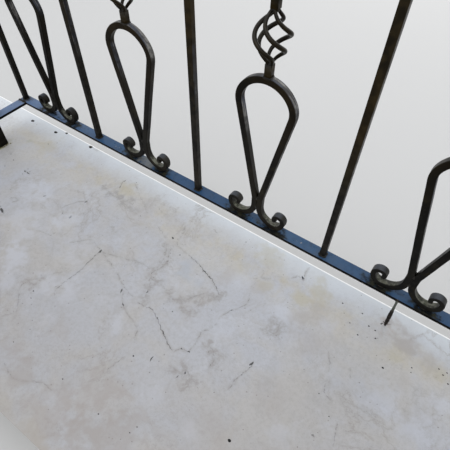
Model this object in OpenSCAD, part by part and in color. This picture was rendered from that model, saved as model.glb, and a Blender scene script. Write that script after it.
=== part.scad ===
// Balcony: a marble floor on a concrete slab, with an iron railing of square bars and lyres.
// The street front faces -Y and the house wall is the plane Y = 0.
// The origin is the centre of the slab's rear face, and Z points up.
// Left and right are as seen from the street.

/* [Layout] */
// Bar spacing of the end bays, beside each corner
corner_bay = 323; // [240:1:420]
// Bar spacing of the middle bays of the front
front_bay = 357; // [280:1:460]
// Wall to the middle of the front railing
railing_reach = 641; // [560:1:900]
// Height of the iron bars between the bottom rail and the top rail
bar_h = 902; // [860:1:1050]
// Middle of the last upright from the wall
wall_bar_gap = 40; // [20:1:60]

/* [Slab] */
// Thickness of the concrete slab
concrete_t = 120; // [90:5:200]
// Thickness of the marble floor
marble_t = 30; // [20:1:50]
// Marble in front of the middle of the front railing
marble_front = 27; // [18:1:60]
// Marble beyond the middle of each side railing
marble_side = 240; // [40:5:300]
// Marble beyond the concrete at the front and the sides
marble_lip = 28; // [12:1:40]
// Bevel on the edges of the marble
marble_bevel = 2; // [0.5:0.5:5]
// Width of the drip groove under the lip
drip_w = 8; // [4:1:10]
// Depth of the drip groove
drip_d = 5; // [2:1:8]

/* [Rails] */
// Width of the flat bar of the rails
rail_w = 30; // [24:1:50]
// Thickness of the flat bar of the rails
rail_t = 8; // [4:0.5:10]
// Open height under the bottom rail
rail_gap = 84; // [60:1:120]
// Width of the handrail
handrail_w = 42; // [34:1:60]
// Height of the handrail
handrail_h = 12; // [8:1:20]
// Height of the straight edge of the handrail
handrail_edge = 3; // [1:0.5:5]
// Width of the flat crown of the handrail
handrail_crown = 8; // [4:1:18]

/* [Bars] */
// Side of the square bar
bar = 14; // [10:1:17]

/* [Lyre] */
// Height of the loop over its feet
loop_h = 378; // [370:1:400]
// Width of the loop
loop_w = 131; // [115:1:150]
// Height of the widest place of the loop over its feet
loop_wide_z = 319; // [300:1:325]
// Radius of the loop's shoulders, at the middle of the bar
shoulder_r = 42; // [34:1:48]
// Height over the feet at which the two legs meet
touch_top = 71; // [60:1:90]
// Height over the feet at which the two legs part again
touch_low = 47; // [44:1:56]
// Radius of the bend where the legs meet
bend_r = 28; // [16:1:60]
// Distance that the two legs are pressed into each other where they are welded
leg_press = 0.2; // [0.1:0.1:1]
// Height of the short bar between the loop and the basket
stub_h = 24; // [18:1:34]
// Height of the weld under each foot
foot_weld = 3; // [1:0.5:5]
// Length of the weld under each foot
foot_weld_l = 22; // [12:1:30]
// Turn of the foot bend beyond its lowest place
foot_turn = 4; // [2:1:12]
// Radius of the scroll's outer bend
curl_r1 = 24; // [20:1:28]
// Straight rise at the outside of the scroll
curl_rise = 2; // [1:1:6]
// Radius of the scroll's upper bend
curl_r2 = 13; // [12:0.5:17]
// Radius of the scroll's inner bend
curl_r3 = 10.5; // [9:0.5:13]
// Direction in which the scroll ends
curl_end = 240; // [180:1:250]
// Thickness of the bar at the outside of the scroll
curl_t1 = 10.5; // [8:0.5:12]
// Thickness of the bar at the top of the scroll
curl_t2 = 10; // [7:0.5:11]
// Thickness of the bar at its tip
curl_t3 = 9; // [5:0.5:10]
// Width to which the scroll is hammered out
curl_w = 17; // [17:0.5:22]
// Sideways lean of the most crooked loop, in degrees
crooked = 0.9; // [0:0.1:3]

/* [Basket] */
// Largest diameter of the basket
basket_d = 69; // [60:1:72]
// Diameter of its rods at the middle of the basket
rod_d = 8; // [6:0.5:9]
// Diameter to which the ends of the rods are drawn out
rod_end_d = 5.5; // [4:0.5:6]
// Number of rods in a basket
rod_count = 4; // [3:1:5]
// Turns that a rod makes round the basket
rod_turns = 0.66; // [0.5:0.02:1.2]
// Roundness of the basket's ends, where a larger value gives slimmer ends
rod_bulge = 1.3; // [1:0.1:2]
// Gap between neighbouring rods where they meet
rod_gap = 0.5; // [0.3:0.1:1]

/* [Fixings] */
// Side of the square tube of the legs
leg_w = 30; // [20:1:40]
// Wall of the tube of the legs
leg_wall = 2; // [1.5:0.5:4]
// Middle of a leg behind the middle of the front railing
leg_back = 135; // [60:1:200]
// Diameter of the anchor rod
anchor_d = 7; // [5:1:10]
// Place of the anchor rod along the front
anchor_x = -188; // [-300:1:300]
// Foot of the anchor rod behind the middle of the front railing
anchor_back = 22; // [20:1:35]
// Sideways lean of the anchor rod, from its foot to its head
anchor_side = 5; // [0:1:10]
// Width of the wall plates
plate_w = 44; // [42:1:70]
// Height of the wall plates
plate_h = 100; // [80:1:140]
// Thickness of the wall plates
plate_t = 6; // [4:1:10]
// Distance between the two bolt holes of a plate
hole_pitch = 70; // [56:1:80]
// Diameter of the bolt holes
hole_d = 9; // [6:0.5:12]

/* [Hidden] */
$fn = 48;

// Middle bays of the front
middle_bays = 4;
// Middle of each side railing, measured from the middle of the balcony
side_x = corner_bay + middle_bays * front_bay / 2;
front_y = -railing_reach;
wall_bar_y = -wall_bar_gap;
side_bar_y = front_y + corner_bay;

// Heights from the concrete's underside to the handrail
floor_z = concrete_t / 2 + marble_t;
bottom_rail_z = floor_z + rail_gap;
bars_z = bottom_rail_z + rail_t;
top_rail_z = bars_z + bar_h;
handrail_z = top_rail_z + rail_t;

// Round of the handrail: the circle through the top of its edges and the sides of its crown
handrail_round_z = (pow(handrail_h, 2) - pow(handrail_edge, 2)
    - (pow(handrail_w, 2) - pow(handrail_crown, 2)) / 4) / (2 * (handrail_h - handrail_edge));
handrail_round_r = norm([handrail_crown / 2, handrail_h - handrail_round_z]);

marble_w = 2 * (side_x + marble_side);
marble_depth = railing_reach + marble_front;
concrete_w = marble_w - 2 * marble_lip;
concrete_depth = marble_depth - marble_lip;

// Each front lyre's own shift from the middle of its bay, and its share of the sideways lean
front_bays = middle_bays + 2;
lyre_shift = [6, 0, -8, 2.5, -5.5, 0];
lyre_lean = [0, 0.3, 0, -1, 0.9, -0.3];
corner_lyre_shift = 7;

// Lyre: the bar's middle line, worked out from the sizes above
leg_x = (bar - leg_press) / 2;
apex_z = loop_h - bar / 2;
shoulder_x = (loop_w - bar) / 2 - shoulder_r;
crown_rise = apex_z - loop_wide_z;
crown_r = (pow(shoulder_x, 2) + pow(crown_rise, 2) - pow(shoulder_r, 2)) / (2 * (crown_rise - shoulder_r));
crown_z = apex_z - crown_r;
crown_end = atan2(loop_wide_z - crown_z, shoulder_x);
bend_x = leg_x + bend_r;
leg_reach = norm([bend_x - shoulder_x, loop_wide_z - touch_top]);
leg_tilt = asin((shoulder_r + bend_r) / leg_reach)
    - atan2(bend_x - shoulder_x, loop_wide_z - touch_top);
foot_r = touch_low - bar / 2;
foot_x = leg_x + foot_r;
foot_end = 270 + foot_turn;
curl_x1 = foot_x + (foot_r - curl_r1) * cos(foot_end);
curl_z1 = touch_low + (foot_r - curl_r1) * sin(foot_end);
curl_x2 = curl_x1 + curl_r1 - curl_r2;
curl_z2 = curl_z1 + curl_rise;
curl_z3 = curl_z2 + curl_r2 - curl_r3;
curl_top = curl_z2 + curl_r2 + bar / 2;
stub_foot_z = crown_z + sqrt(pow(crown_r + bar / 2, 2) - pow(bar / 2, 2));

// Basket: its height is what the two lyres leave free
stub_top = loop_h + stub_h;
basket_z = foot_weld + stub_top;
basket_h = bar_h - 2 * basket_z;
rod_seat_r = (rod_end_d + rod_gap) / (2 * sin(180 / rod_count));
rod_start = 76;
rod_sides = 6;
rod_steps = 14;

// Middle line of a bent bar along an arc, from the point numbered first to the last of n.
// Each point holds its place, the bar's thickness and the direction of its outer edge.
function arc(x, z, r, a0, a1, t0, t1, n, first = 1, turn = 180) = [
    for (i = [first:n])
        let (u = i / n, a = a0 + (a1 - a0) * u)
        [x + r * cos(a), z + r * sin(a), t0 + (t1 - t0) * u, a + turn]
];

// Middle line of the right half of a lyre, from the crown down to the tip of its scroll
lyre_line = concat(
    arc(0, crown_z, crown_r, 90, crown_end, bar, bar, 9, 0, 0),
    arc(shoulder_x, loop_wide_z, shoulder_r, crown_end, -leg_tilt, bar, bar, 5, 1, 0),
    arc(bend_x, touch_top, bend_r, 180 - leg_tilt, 180, bar, bar, 3, 0),
    arc(foot_x, touch_low, foot_r, 180, 270, bar, bar, 10, 0),
    arc(foot_x, touch_low, foot_r, 270, foot_end, bar, bar, 1),
    arc(curl_x1, curl_z1, curl_r1, foot_end, 360, bar, curl_t1, 7),
    arc(curl_x2, curl_z2, curl_r2, 0, 90, curl_t1, curl_t2, 8, 0),
    arc(curl_x2, curl_z3, curl_r3, 90, curl_end, curl_t2, curl_t3, 10)
);

// Sideways shift of a leaning loop at a height
function sway(z, lean) = tan(lean) * max(0, min(z, loop_h) - touch_top);

// One edge of the bar, at half its thickness to the outside (side = 1) or the inside (-1)
function bar_edge(side) = [
    for (p = lyre_line)
        [p[0] + side * p[2] / 2 * cos(p[3]), p[1] + side * p[2] / 2 * sin(p[3])]
];

function without_first(points) = [for (i = [1:len(points) - 1]) points[i]];
function reversed(points) = [for (i = [len(points) - 1:-1:0]) points[i]];

// Outline of the right half of a lyre, with half of the short bar on its crown
half_outline = concat(
    [[0, stub_top], [bar / 2, stub_top], [bar / 2, stub_foot_z]],
    without_first(bar_edge(1)),
    reversed(bar_edge(-1))
);

// Flat shape of one lyre with its feet on Z = 0 and the two welds below them
module lyre_shape(lean) {
    for (side = [-1, 1]) {
        polygon([for (p = half_outline) [side * p[0] + sway(p[1], lean), p[1]]]);
        translate([side * foot_x - foot_weld_l / 2, -foot_weld])
            square([foot_weld_l, foot_weld + bar / 2]);
    }
}

// Plan of a lyre's foot: the bar widens from its own width to that of the scrolls
module foot_plan() {
    reach = curl_x2 + curl_r2 + bar;
    for (side = [-1, 1])
        polygon([
            [0, -bar / 2], [side * foot_x / 2, -bar / 2], [side * curl_x2, -curl_w / 2],
            [side * reach, -curl_w / 2], [side * reach, curl_w / 2],
            [side * curl_x2, curl_w / 2], [side * foot_x / 2, bar / 2], [0, bar / 2]
        ]);
}

// One lyre in the plane Y = 0, with its welds resting on Z = 0
module lyre(lean = 0) {
    span = loop_w + 4 * bar;
    translate([0, 0, foot_weld])
        intersection() {
            rotate([90, 0, 0])
                linear_extrude(curl_w, center = true)
                    lyre_shape(lean);
            union() {
                translate([-span / 2, -bar / 2, -bar])
                    cube([span, bar, stub_top + 2 * bar]);
                translate([0, 0, -bar])
                    linear_extrude(curl_top + bar)
                        foot_plan();
            }
        }
}

// The two lyres of a bay, the upper one upside down
module lyre_pair(lean = 0) {
    color("#1d1c1b") {
        lyre(lean);
        translate([0, 0, bar_h])
            mirror([0, 0, 1])
                lyre(lean);
    }
}

// Middle line of a basket rod, from u = 0 at its lower end to u = 1
function rod_r(u) = rod_seat_r
    + (basket_d / 2 - rod_d / 2 - rod_seat_r) * pow(abs(sin(180 * u)), rod_bulge);
function rod_thick(u) = rod_end_d + (rod_d - rod_end_d) * abs(sin(180 * u));
function rod_angle(u, start) = start - 360 * rod_turns * u;
function rod_point(u, start) = [
    rod_r(u) * cos(rod_angle(u, start)), rod_r(u) * sin(rod_angle(u, start)), basket_h * u
];
function unit(v) = v / norm(v);

// Direction of the rod, upright at both ends so that it stands flat on the short bars
function rod_way(u, start) = u == 0 || u == 1
    ? [0, 0, 1]
    : unit(rod_point(u + 0.01, start) - rod_point(u - 0.01, start));

// Ring of points round the rod at u
function rod_ring(u, start) =
    let (
        way = rod_way(u, start),
        out = [cos(rod_angle(u, start)), sin(rod_angle(u, start)), 0],
        across = unit(out - (out * way) * way),
        along = cross(way, across)
    )
    [
        for (k = [0:rod_sides - 1])
            let (a = 360 * k / rod_sides)
            rod_point(u, start) + rod_thick(u) / 2 * (cos(a) * across + sin(a) * along)
    ];

// One bent rod of a basket
module basket_rod(start) {
    n = rod_sides;
    points = [for (i = [0:rod_steps]) each rod_ring(i / rod_steps, start)];
    sides = [
        for (i = [0:rod_steps - 1])
            for (k = [0:n - 1])
                let (m = (k + 1) % n)
                each [
                    [i * n + k, (i + 1) * n + k, i * n + m],
                    [i * n + m, (i + 1) * n + k, (i + 1) * n + m]
                ]
    ];
    low_end = [[for (k = [0:n - 1]) k]];
    high_end = [[for (k = [n - 1:-1:0]) rod_steps * n + k]];
    polyhedron(points, concat(sides, low_end, high_end));
}

// Twisted basket between the two short bars of a bay
module basket(lean = 0) {
    color("#1d1c1b")
        translate([sway(loop_h, lean), 0, basket_z])
            for (k = [0:rod_count - 1]) basket_rod(rod_start + 360 * k / rod_count);
}

// Square upright between the two rails
module upright(x, y) {
    color("#1d1c1b")
        translate([x - bar / 2, y - bar / 2, bars_z])
            cube([bar, bar, bar_h]);
}

// Flat bar along the front
module front_flat(z) {
    length = 2 * side_x + rail_w;
    color("#1d1c1b")
        translate([-length / 2, front_y - rail_w / 2, z])
            cube([length, rail_w, rail_t]);
}

// Flat bar along one side, from the front bar's inner edge to the wall plate
module side_flat(side, z) {
    length = railing_reach - rail_w / 2 - plate_t;
    color("#1d1c1b")
        translate([side * side_x - rail_w / 2, -plate_t - length, z])
            cube([rail_w, length, rail_t]);
}

// Cross section of the handrail: a flat underside, short edges, round shoulders and a flat crown
module handrail_shape(low, high) {
    intersection() {
        translate([0, handrail_round_z]) circle(handrail_round_r, $fn = 180);
        translate([-handrail_w / 2, low]) square([handrail_w, high - low]);
    }
}

// The same shape at both side railings
module handrail_sides(low, high) {
    for (side = [-1, 1])
        translate([side * side_x, 0]) handrail_shape(low, high);
}

// Cross section from the street to the wall, drawn out along X past both sides
module across_front() {
    length = 2 * (side_x + handrail_w);
    translate([-length / 2, 0, 0]) rotate([90, 0, 90]) linear_extrude(length) children();
}

// Cross section from side to side, drawn out along Y past the front and the wall
module along_sides() {
    length = railing_reach + 2 * handrail_w;
    translate([0, handrail_w, 0]) rotate([90, 0, 0]) linear_extrude(length) children();
}

// Handrail in one piece, mitred at the corners: its outer slopes bound a plain block, and its
// inner slopes bound the opening that is cut from the block
module handrail() {
    inset = handrail_crown / 4;
    color("#1d1c1b")
        translate([0, 0, handrail_z])
            difference() {
                intersection() {
                    across_front() {
                        translate([front_y, 0]) handrail_shape(0, handrail_h);
                        translate([front_y, 0]) square([railing_reach - plate_t, handrail_h]);
                    }
                    along_sides() {
                        handrail_sides(0, handrail_h);
                        translate([-side_x, 0]) square([2 * side_x, handrail_h]);
                    }
                }
                intersection() {
                    across_front()
                        difference() {
                            translate([front_y + inset, -handrail_h])
                                square([railing_reach, 3 * handrail_h]);
                            translate([front_y, 0]) handrail_shape(-2 * handrail_h, 3 * handrail_h);
                        }
                    along_sides()
                        difference() {
                            translate([inset - side_x, -handrail_h])
                                square([2 * (side_x - inset), 3 * handrail_h]);
                            handrail_sides(-2 * handrail_h, 3 * handrail_h);
                        }
                }
            }
}

module concrete_slab() {
    color("#a9a49b")
        translate([-concrete_w / 2, -concrete_depth, -concrete_t / 2])
            cube([concrete_w, concrete_depth, concrete_t]);
}

// Bevelled edge of the marble as a cross section, with the edge at the origin
module marble_section(length) {
    b = marble_bevel;
    polygon([
        [0, b], [b, 0], [length, 0], [length, marble_t], [b, marble_t], [0, marble_t - b]
    ]);
}

// Marble floor: bevelled front and side edges, and a drip groove under the lip
module marble_floor() {
    groove_in = (marble_lip - drip_w) / 2;
    color("#d5cfc7")
        translate([0, 0, concrete_t / 2])
            difference() {
                intersection() {
                    translate([-marble_w / 2, -marble_depth, 0])
                        rotate([90, 0, 90])
                            linear_extrude(marble_w)
                                marble_section(marble_depth);
                    for (side = [0, 1])
                        mirror([side, 0, 0])
                            translate([-marble_w / 2, 0, 0])
                                rotate([90, 0, 0])
                                    linear_extrude(marble_depth)
                                        marble_section(marble_w - marble_bevel);
                }
                translate([groove_in - marble_w / 2, groove_in - marble_depth, 0])
                    drip_groove(marble_w - 2 * groove_in, marble_depth - groove_in);
            }
}

// Groove along the front and both sides, open to below
module drip_groove(width, depth) {
    difference() {
        translate([0, 0, -drip_d]) cube([width, depth + drip_d, 2 * drip_d]);
        translate([drip_w, drip_w, -2 * drip_d])
            cube([width - 2 * drip_w, depth + 2 * drip_d, 4 * drip_d]);
    }
}

// Square tube under a side rail, standing on the marble
module leg(side) {
    color("#1d1c1b")
        translate([side * side_x, front_y + leg_back, floor_z])
            linear_extrude(rail_gap)
                difference() {
                    square(leg_w, center = true);
                    square(leg_w - 2 * leg_wall, center = true);
                }
}

// Thin rod from the marble to the inner edge of the bottom rail, against which it leans
module anchor_rod() {
    seat = 0.1;
    lean_in = anchor_back - rail_w / 2 - anchor_d / 2 - seat;
    tilt = atan2(lean_in, rail_gap + rail_t);
    lean_side = atan2(anchor_side, rail_gap + rail_t);
    color("#4a3426")
        intersection() {
            translate([anchor_x, front_y + anchor_back, floor_z])
                rotate([tilt, lean_side, 0])
                    translate([0, 0, -rail_gap])
                        cylinder(h = 3 * rail_gap, d = anchor_d);
            translate([anchor_x - anchor_d, front_y, floor_z])
                cube([2 * anchor_d + anchor_side, 2 * anchor_back, rail_gap + rail_t]);
        }
}

// Plates at the wall, one at each rail end, each with two bolt holes
module wall_plates(side) {
    color("#1d1c1b")
        for (rail_z = [bottom_rail_z, top_rail_z])
            translate([side * side_x, 0, rail_z + rail_t / 2])
                rotate([90, 0, 0])
                    linear_extrude(plate_t)
                        difference() {
                            square([plate_w, plate_h], center = true);
                            for (k = [-1, 1])
                                translate([0, k * hole_pitch / 2]) circle(d = hole_d);
                        }
}

// Place of a bay's middle: front bays are counted from the left
function front_bay_x(i) = i == 1 ? corner_bay / 2 - side_x
    : i == front_bays ? side_x - corner_bay / 2
    : corner_bay - side_x + (i - 1.5) * front_bay;
function front_lyre_x(i) = front_bay_x(i) + lyre_shift[i - 1];
function front_bar_x(i) = corner_bay - side_x + (i - 1) * front_bay;
function side_lyre_y(i) = i == 1
    ? front_y + corner_bay / 2 + corner_lyre_shift
    : (side_bar_y + wall_bar_y) / 2;

// Put what stands in a front bay in its place
module in_front_bay(i) {
    translate([front_lyre_x(i), front_y, bars_z]) rotate([0, 0, 180]) children();
}

// Put what stands in a side bay in its place
module in_side_bay(side, i) {
    translate([side * side_x, side_lyre_y(i), bars_z]) rotate([0, 0, side * 90]) children();
}

function lean_of(i) = crooked * lyre_lean[i - 1];

concrete_slab();
marble_floor();
front_flat(bottom_rail_z);  // bottom_rail_front
side_flat(-1, bottom_rail_z);  // bottom_rail_left
side_flat(1, bottom_rail_z);  // bottom_rail_right
front_flat(top_rail_z);  // top_rail_front
side_flat(-1, top_rail_z);  // top_rail_left
side_flat(1, top_rail_z);  // top_rail_right
handrail();
upright(-side_x, front_y);  // corner_bar_left
upright(side_x, front_y);  // corner_bar_right
upright(-side_x, wall_bar_y);  // wall_bar_left
upright(side_x, wall_bar_y);  // wall_bar_right
upright(-side_x, side_bar_y);  // side_bar_left
upright(side_x, side_bar_y);  // side_bar_right
upright(front_bar_x(1), front_y);  // front_bar_1
upright(front_bar_x(2), front_y);  // front_bar_2
upright(front_bar_x(3), front_y);  // front_bar_3
upright(front_bar_x(4), front_y);  // front_bar_4
upright(front_bar_x(5), front_y);  // front_bar_5
in_front_bay(1) lyre_pair(lean_of(1));  // lyre_front_1
in_front_bay(2) lyre_pair(lean_of(2));  // lyre_front_2
in_front_bay(3) lyre_pair(lean_of(3));  // lyre_front_3
in_front_bay(4) lyre_pair(lean_of(4));  // lyre_front_4
in_front_bay(5) lyre_pair(lean_of(5));  // lyre_front_5
in_front_bay(6) lyre_pair(lean_of(6));  // lyre_front_6
in_side_bay(-1, 1) lyre_pair();  // lyre_left_1
in_side_bay(-1, 2) lyre_pair();  // lyre_left_2
in_side_bay(1, 1) lyre_pair();  // lyre_right_1
in_side_bay(1, 2) lyre_pair();  // lyre_right_2
in_front_bay(1) basket(lean_of(1));  // basket_front_1
in_front_bay(2) basket(lean_of(2));  // basket_front_2
in_front_bay(3) basket(lean_of(3));  // basket_front_3
in_front_bay(4) basket(lean_of(4));  // basket_front_4
in_front_bay(5) basket(lean_of(5));  // basket_front_5
in_front_bay(6) basket(lean_of(6));  // basket_front_6
in_side_bay(-1, 1) basket();  // basket_left_1
in_side_bay(-1, 2) basket();  // basket_left_2
in_side_bay(1, 1) basket();  // basket_right_1
in_side_bay(1, 2) basket();  // basket_right_2
leg(-1);  // leg_left
leg(1);  // leg_right
anchor_rod();
wall_plates(-1);  // wall_plates_left
wall_plates(1);  // wall_plates_right
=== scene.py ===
# Looks of an iron balcony: painted square bars, lyres and baskets on a marble floor.
import math
import random

import bmesh
import bpy
from mathutils import Matrix, Vector, noise


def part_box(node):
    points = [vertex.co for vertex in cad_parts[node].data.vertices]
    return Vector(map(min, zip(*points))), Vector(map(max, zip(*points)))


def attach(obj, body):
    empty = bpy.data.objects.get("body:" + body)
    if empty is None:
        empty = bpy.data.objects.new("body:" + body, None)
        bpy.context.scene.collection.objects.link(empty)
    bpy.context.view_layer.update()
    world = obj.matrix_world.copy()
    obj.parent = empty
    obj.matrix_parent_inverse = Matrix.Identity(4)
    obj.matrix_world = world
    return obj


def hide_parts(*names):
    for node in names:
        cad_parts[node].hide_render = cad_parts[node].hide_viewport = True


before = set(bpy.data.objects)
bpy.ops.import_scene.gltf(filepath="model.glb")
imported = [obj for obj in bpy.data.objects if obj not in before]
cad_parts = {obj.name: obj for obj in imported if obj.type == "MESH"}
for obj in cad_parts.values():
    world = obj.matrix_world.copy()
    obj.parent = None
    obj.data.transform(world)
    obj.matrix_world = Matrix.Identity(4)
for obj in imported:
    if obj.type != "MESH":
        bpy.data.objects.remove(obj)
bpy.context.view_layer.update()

MM = 0.001
BODY = "root"
UP = Vector((0, 0, 1))


def middle(name):
    """Middle of a node's box in plan, as (x, y)."""
    low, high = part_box(name)
    return (low.x + high.x) / 2, (low.y + high.y) / 2


# Sizes and places read from the solids
bar_low, bar_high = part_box("front_bar_3")
BAR = bar_high.x - bar_low.x
BARS_Z = bar_low.z
BAR_H = bar_high.z - bar_low.z
FRONT_Y = middle("front_bar_3")[1]
marble_low, marble_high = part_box("marble_floor")
MARBLE_Z = marble_high.z
slab_low, slab_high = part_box("concrete_slab")
rail_low, rail_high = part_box("bottom_rail_front")
RAIL_W = rail_high.y - rail_low.y
SIDE_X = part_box("corner_bar_right")[1].x - BAR / 2
leg_low, leg_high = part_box("leg_right")
LEG_Y = middle("leg_right")[1]
LEG_HALF = (leg_high.x - leg_low.x) / 2
anchor_low, anchor_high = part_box("anchor_rod")
ANCHOR_R = 3.5 * MM
ROD_FOOT = (anchor_low.x + ANCHOR_R, anchor_high.y - ANCHOR_R)

# Lyre, as in the solids
LOOP_H = 378 * MM
LOOP_W = 131 * MM
LOOP_WIDE_Z = 319 * MM
SHOULDER_R = 42 * MM
TOUCH_TOP = 71 * MM
TOUCH_LOW = 47 * MM
BEND_R = 28 * MM
LEG_PRESS = 0.2 * MM
STUB_H = 24 * MM
FOOT_WELD = 3 * MM
FOOT_WELD_L = 22 * MM
FOOT_TURN = 4
CURL_R1 = 24 * MM
CURL_RISE = 2 * MM
CURL_R2 = 13 * MM
CURL_R3 = 10.5 * MM
CURL_END = 240
CURL_T1 = 10.5 * MM
CURL_T2 = 10 * MM
CURL_T3 = 9 * MM
CURL_W = 17 * MM
LEANS = {"lyre_front_2": 0.27, "lyre_front_4": -0.9, "lyre_front_5": 0.81, "lyre_front_6": -0.27}

# Basket, as in the solids
BASKET_D = 69 * MM
ROD_D = 8 * MM
ROD_END_D = 5.5 * MM
ROD_COUNT = 4
ROD_START = 76
ROD_TURNS = 0.66
ROD_BULGE = 1.3
ROD_GAP = 0.5 * MM

# Modelling steps and finish of the iron
SWEEP_STEP = 4 * MM
ARRIS_R = 1.5 * MM
ARRIS_STEPS = 3
ROD_SIDES = 12
ROD_RINGS = 44
FLAT_WEIGHT = 80

# Hand work in the lyres: waves along the bar, pinches of its section, the scrolls' flare and tips
WAVE = 0.5 * MM
WAVE_GRAIN = 11
PINCH_GRAIN = 45
PINCH_THICK = 0.03
PINCH_WIDE = 0.025
FLARE_FROM = 35 * MM
FLARE_L = 50 * MM
TIP_L = 3.5 * MM
TIP_SHARE = 0.9
ARRIS_SHARE = 0.3

# Lumps: how far the first ring is from the pole, and the unevenness
POLE_GAP = 0.35
LUMP_SWELL = 0.28
LUMP_GRAIN = 1.7

# Weld lumps of a bay, as half sizes, and the beads round bars, stubs and legs
FOOT_LUMP = (FOOT_WELD_L * 0.55, BAR * 0.6, FOOT_WELD * 0.95)
PART_WELD = (3.2 * MM, 2.4 * MM, 5 * MM)
MEET_WELD = (2.6 * MM, 2.2 * MM, 5 * MM)
STUB_WELD = (BAR * 0.54, BAR * 0.54, 6.5 * MM)
ROD_WELD = (5 * MM, 3.5 * MM, 3.5 * MM)
BAR_BEAD = 2.4 * MM
STUB_BEAD = 1.7 * MM
LEG_BEAD = 1.8 * MM
BEAD_SIDES = 8
BEAD_MEAN = 0.95
BEAD_SWELL = 0.55
BEAD_GRAIN = 420
CORNER_REACH = 1.25
STUB_SINK = 5 * MM

# Where the welds sit: heights over the rail, and distances from the middle, face or end of a bar
PART_Z = FOOT_WELD + TOUCH_LOW - 1 * MM
MEET_Z = FOOT_WELD + TOUCH_TOP + 3 * MM
STUB_BEAD_Z = FOOT_WELD + LOOP_H - 0.5 * MM
STUB_WELD_IN = 0.5 * MM
WELD_FACE = BAR * 0.42
STUB_BEAD_OUT = 0.2 * MM
BAR_BEAD_OUT = 0.4 * MM
BAR_BEAD_IN = 0.3 * MM
LEG_BEAD_IN = 1 * MM
ROD_WELD_IN = Vector((0, -2 * MM, -2 * MM))

# Run of weld over a corner of the rails, its waves and the beads on it
RUN_STEPS = 20
RUN_SIDES = 12
RUN_OVER = 1.02
RUN_WIDE = 4.2 * MM
RUN_WIDE_WAVE = 1.6 * MM
RUN_WIDE_GRAIN = 120
RUN_TALL = 0.7 * MM
RUN_TALL_WAVE = 0.3 * MM
RUN_TALL_GRAIN = 160
RUN_BEADS = 9
RUN_BEAD_SWAY = 1.6 * MM
RUN_BEAD_SIZES = (1.4, 2.6)
RUN_BEAD_LONG = 1.2
RUN_BEAD_FLAT = 0.5

# Anchor rod: its modelling steps, and where rust has swollen it or eaten it away
ANCHOR_STEPS = 40
ANCHOR_SIDES = 14
ANCHOR_SEED = 3
ANCHOR_ROUGH = 0.25
ANCHOR_MEAN = 0.95
SWOLLEN = 0.25
SWOLLEN_AT = 0.3
SWOLLEN_REACH = 0.25
EATEN = 0.6
EATEN_FROM = 0.5

# Bolts of the wall plates, with profiles as (radius, distance from the plate) in mm
BOLT_PITCH = 70 * MM
PLATE_H = 100 * MM
WASHER = [(8.7, 0), (9, 0.4), (9, 1.2), (8.6, 1.6)]
NUT = [(7.5, 1.6), (7.5, 7.2), (6.975, 8)]
THREAD_R = 4
THREAD_DEPTH = 0.35
THREAD_FROM = 7.5
THREAD_STEP = 0.6
THREAD = [(THREAD_R - THREAD_DEPTH * (k % 2), THREAD_FROM + THREAD_STEP * k) for k in range(11)]
STUD = THREAD + [(2.4, 14.4)]
BOLT_SIDES = {"washer": 28, "nut": 6, "stud": 16}

# Camera of the photograph: its place and the directions of its picture
CAM_PLACE = Vector((-0.132278, -0.042899, 0.968594))
CAM_RIGHT = Vector((-0.81941851, -0.57303535, 0.01355683))
CAM_DOWN = Vector((-0.44900514, 0.62699931, -0.63660526))
CAM_AHEAD = Vector((0.35629719, -0.52773322, -0.77107066))
CAM_LENS = 33.965
CAM_SENSOR = 36
PICTURE = 450
FOCAL = CAM_LENS / CAM_SENSOR * PICTURE


def floor_point(x, y):
    """Point of the marble's top face that the photograph shows at a pixel."""
    ray = CAM_AHEAD + CAM_RIGHT * (x - PICTURE / 2) / FOCAL + CAM_DOWN * (y - PICTURE / 2) / FOCAL
    reach = (MARBLE_Z - CAM_PLACE.z) / ray.z
    return CAM_PLACE + ray * reach


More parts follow.
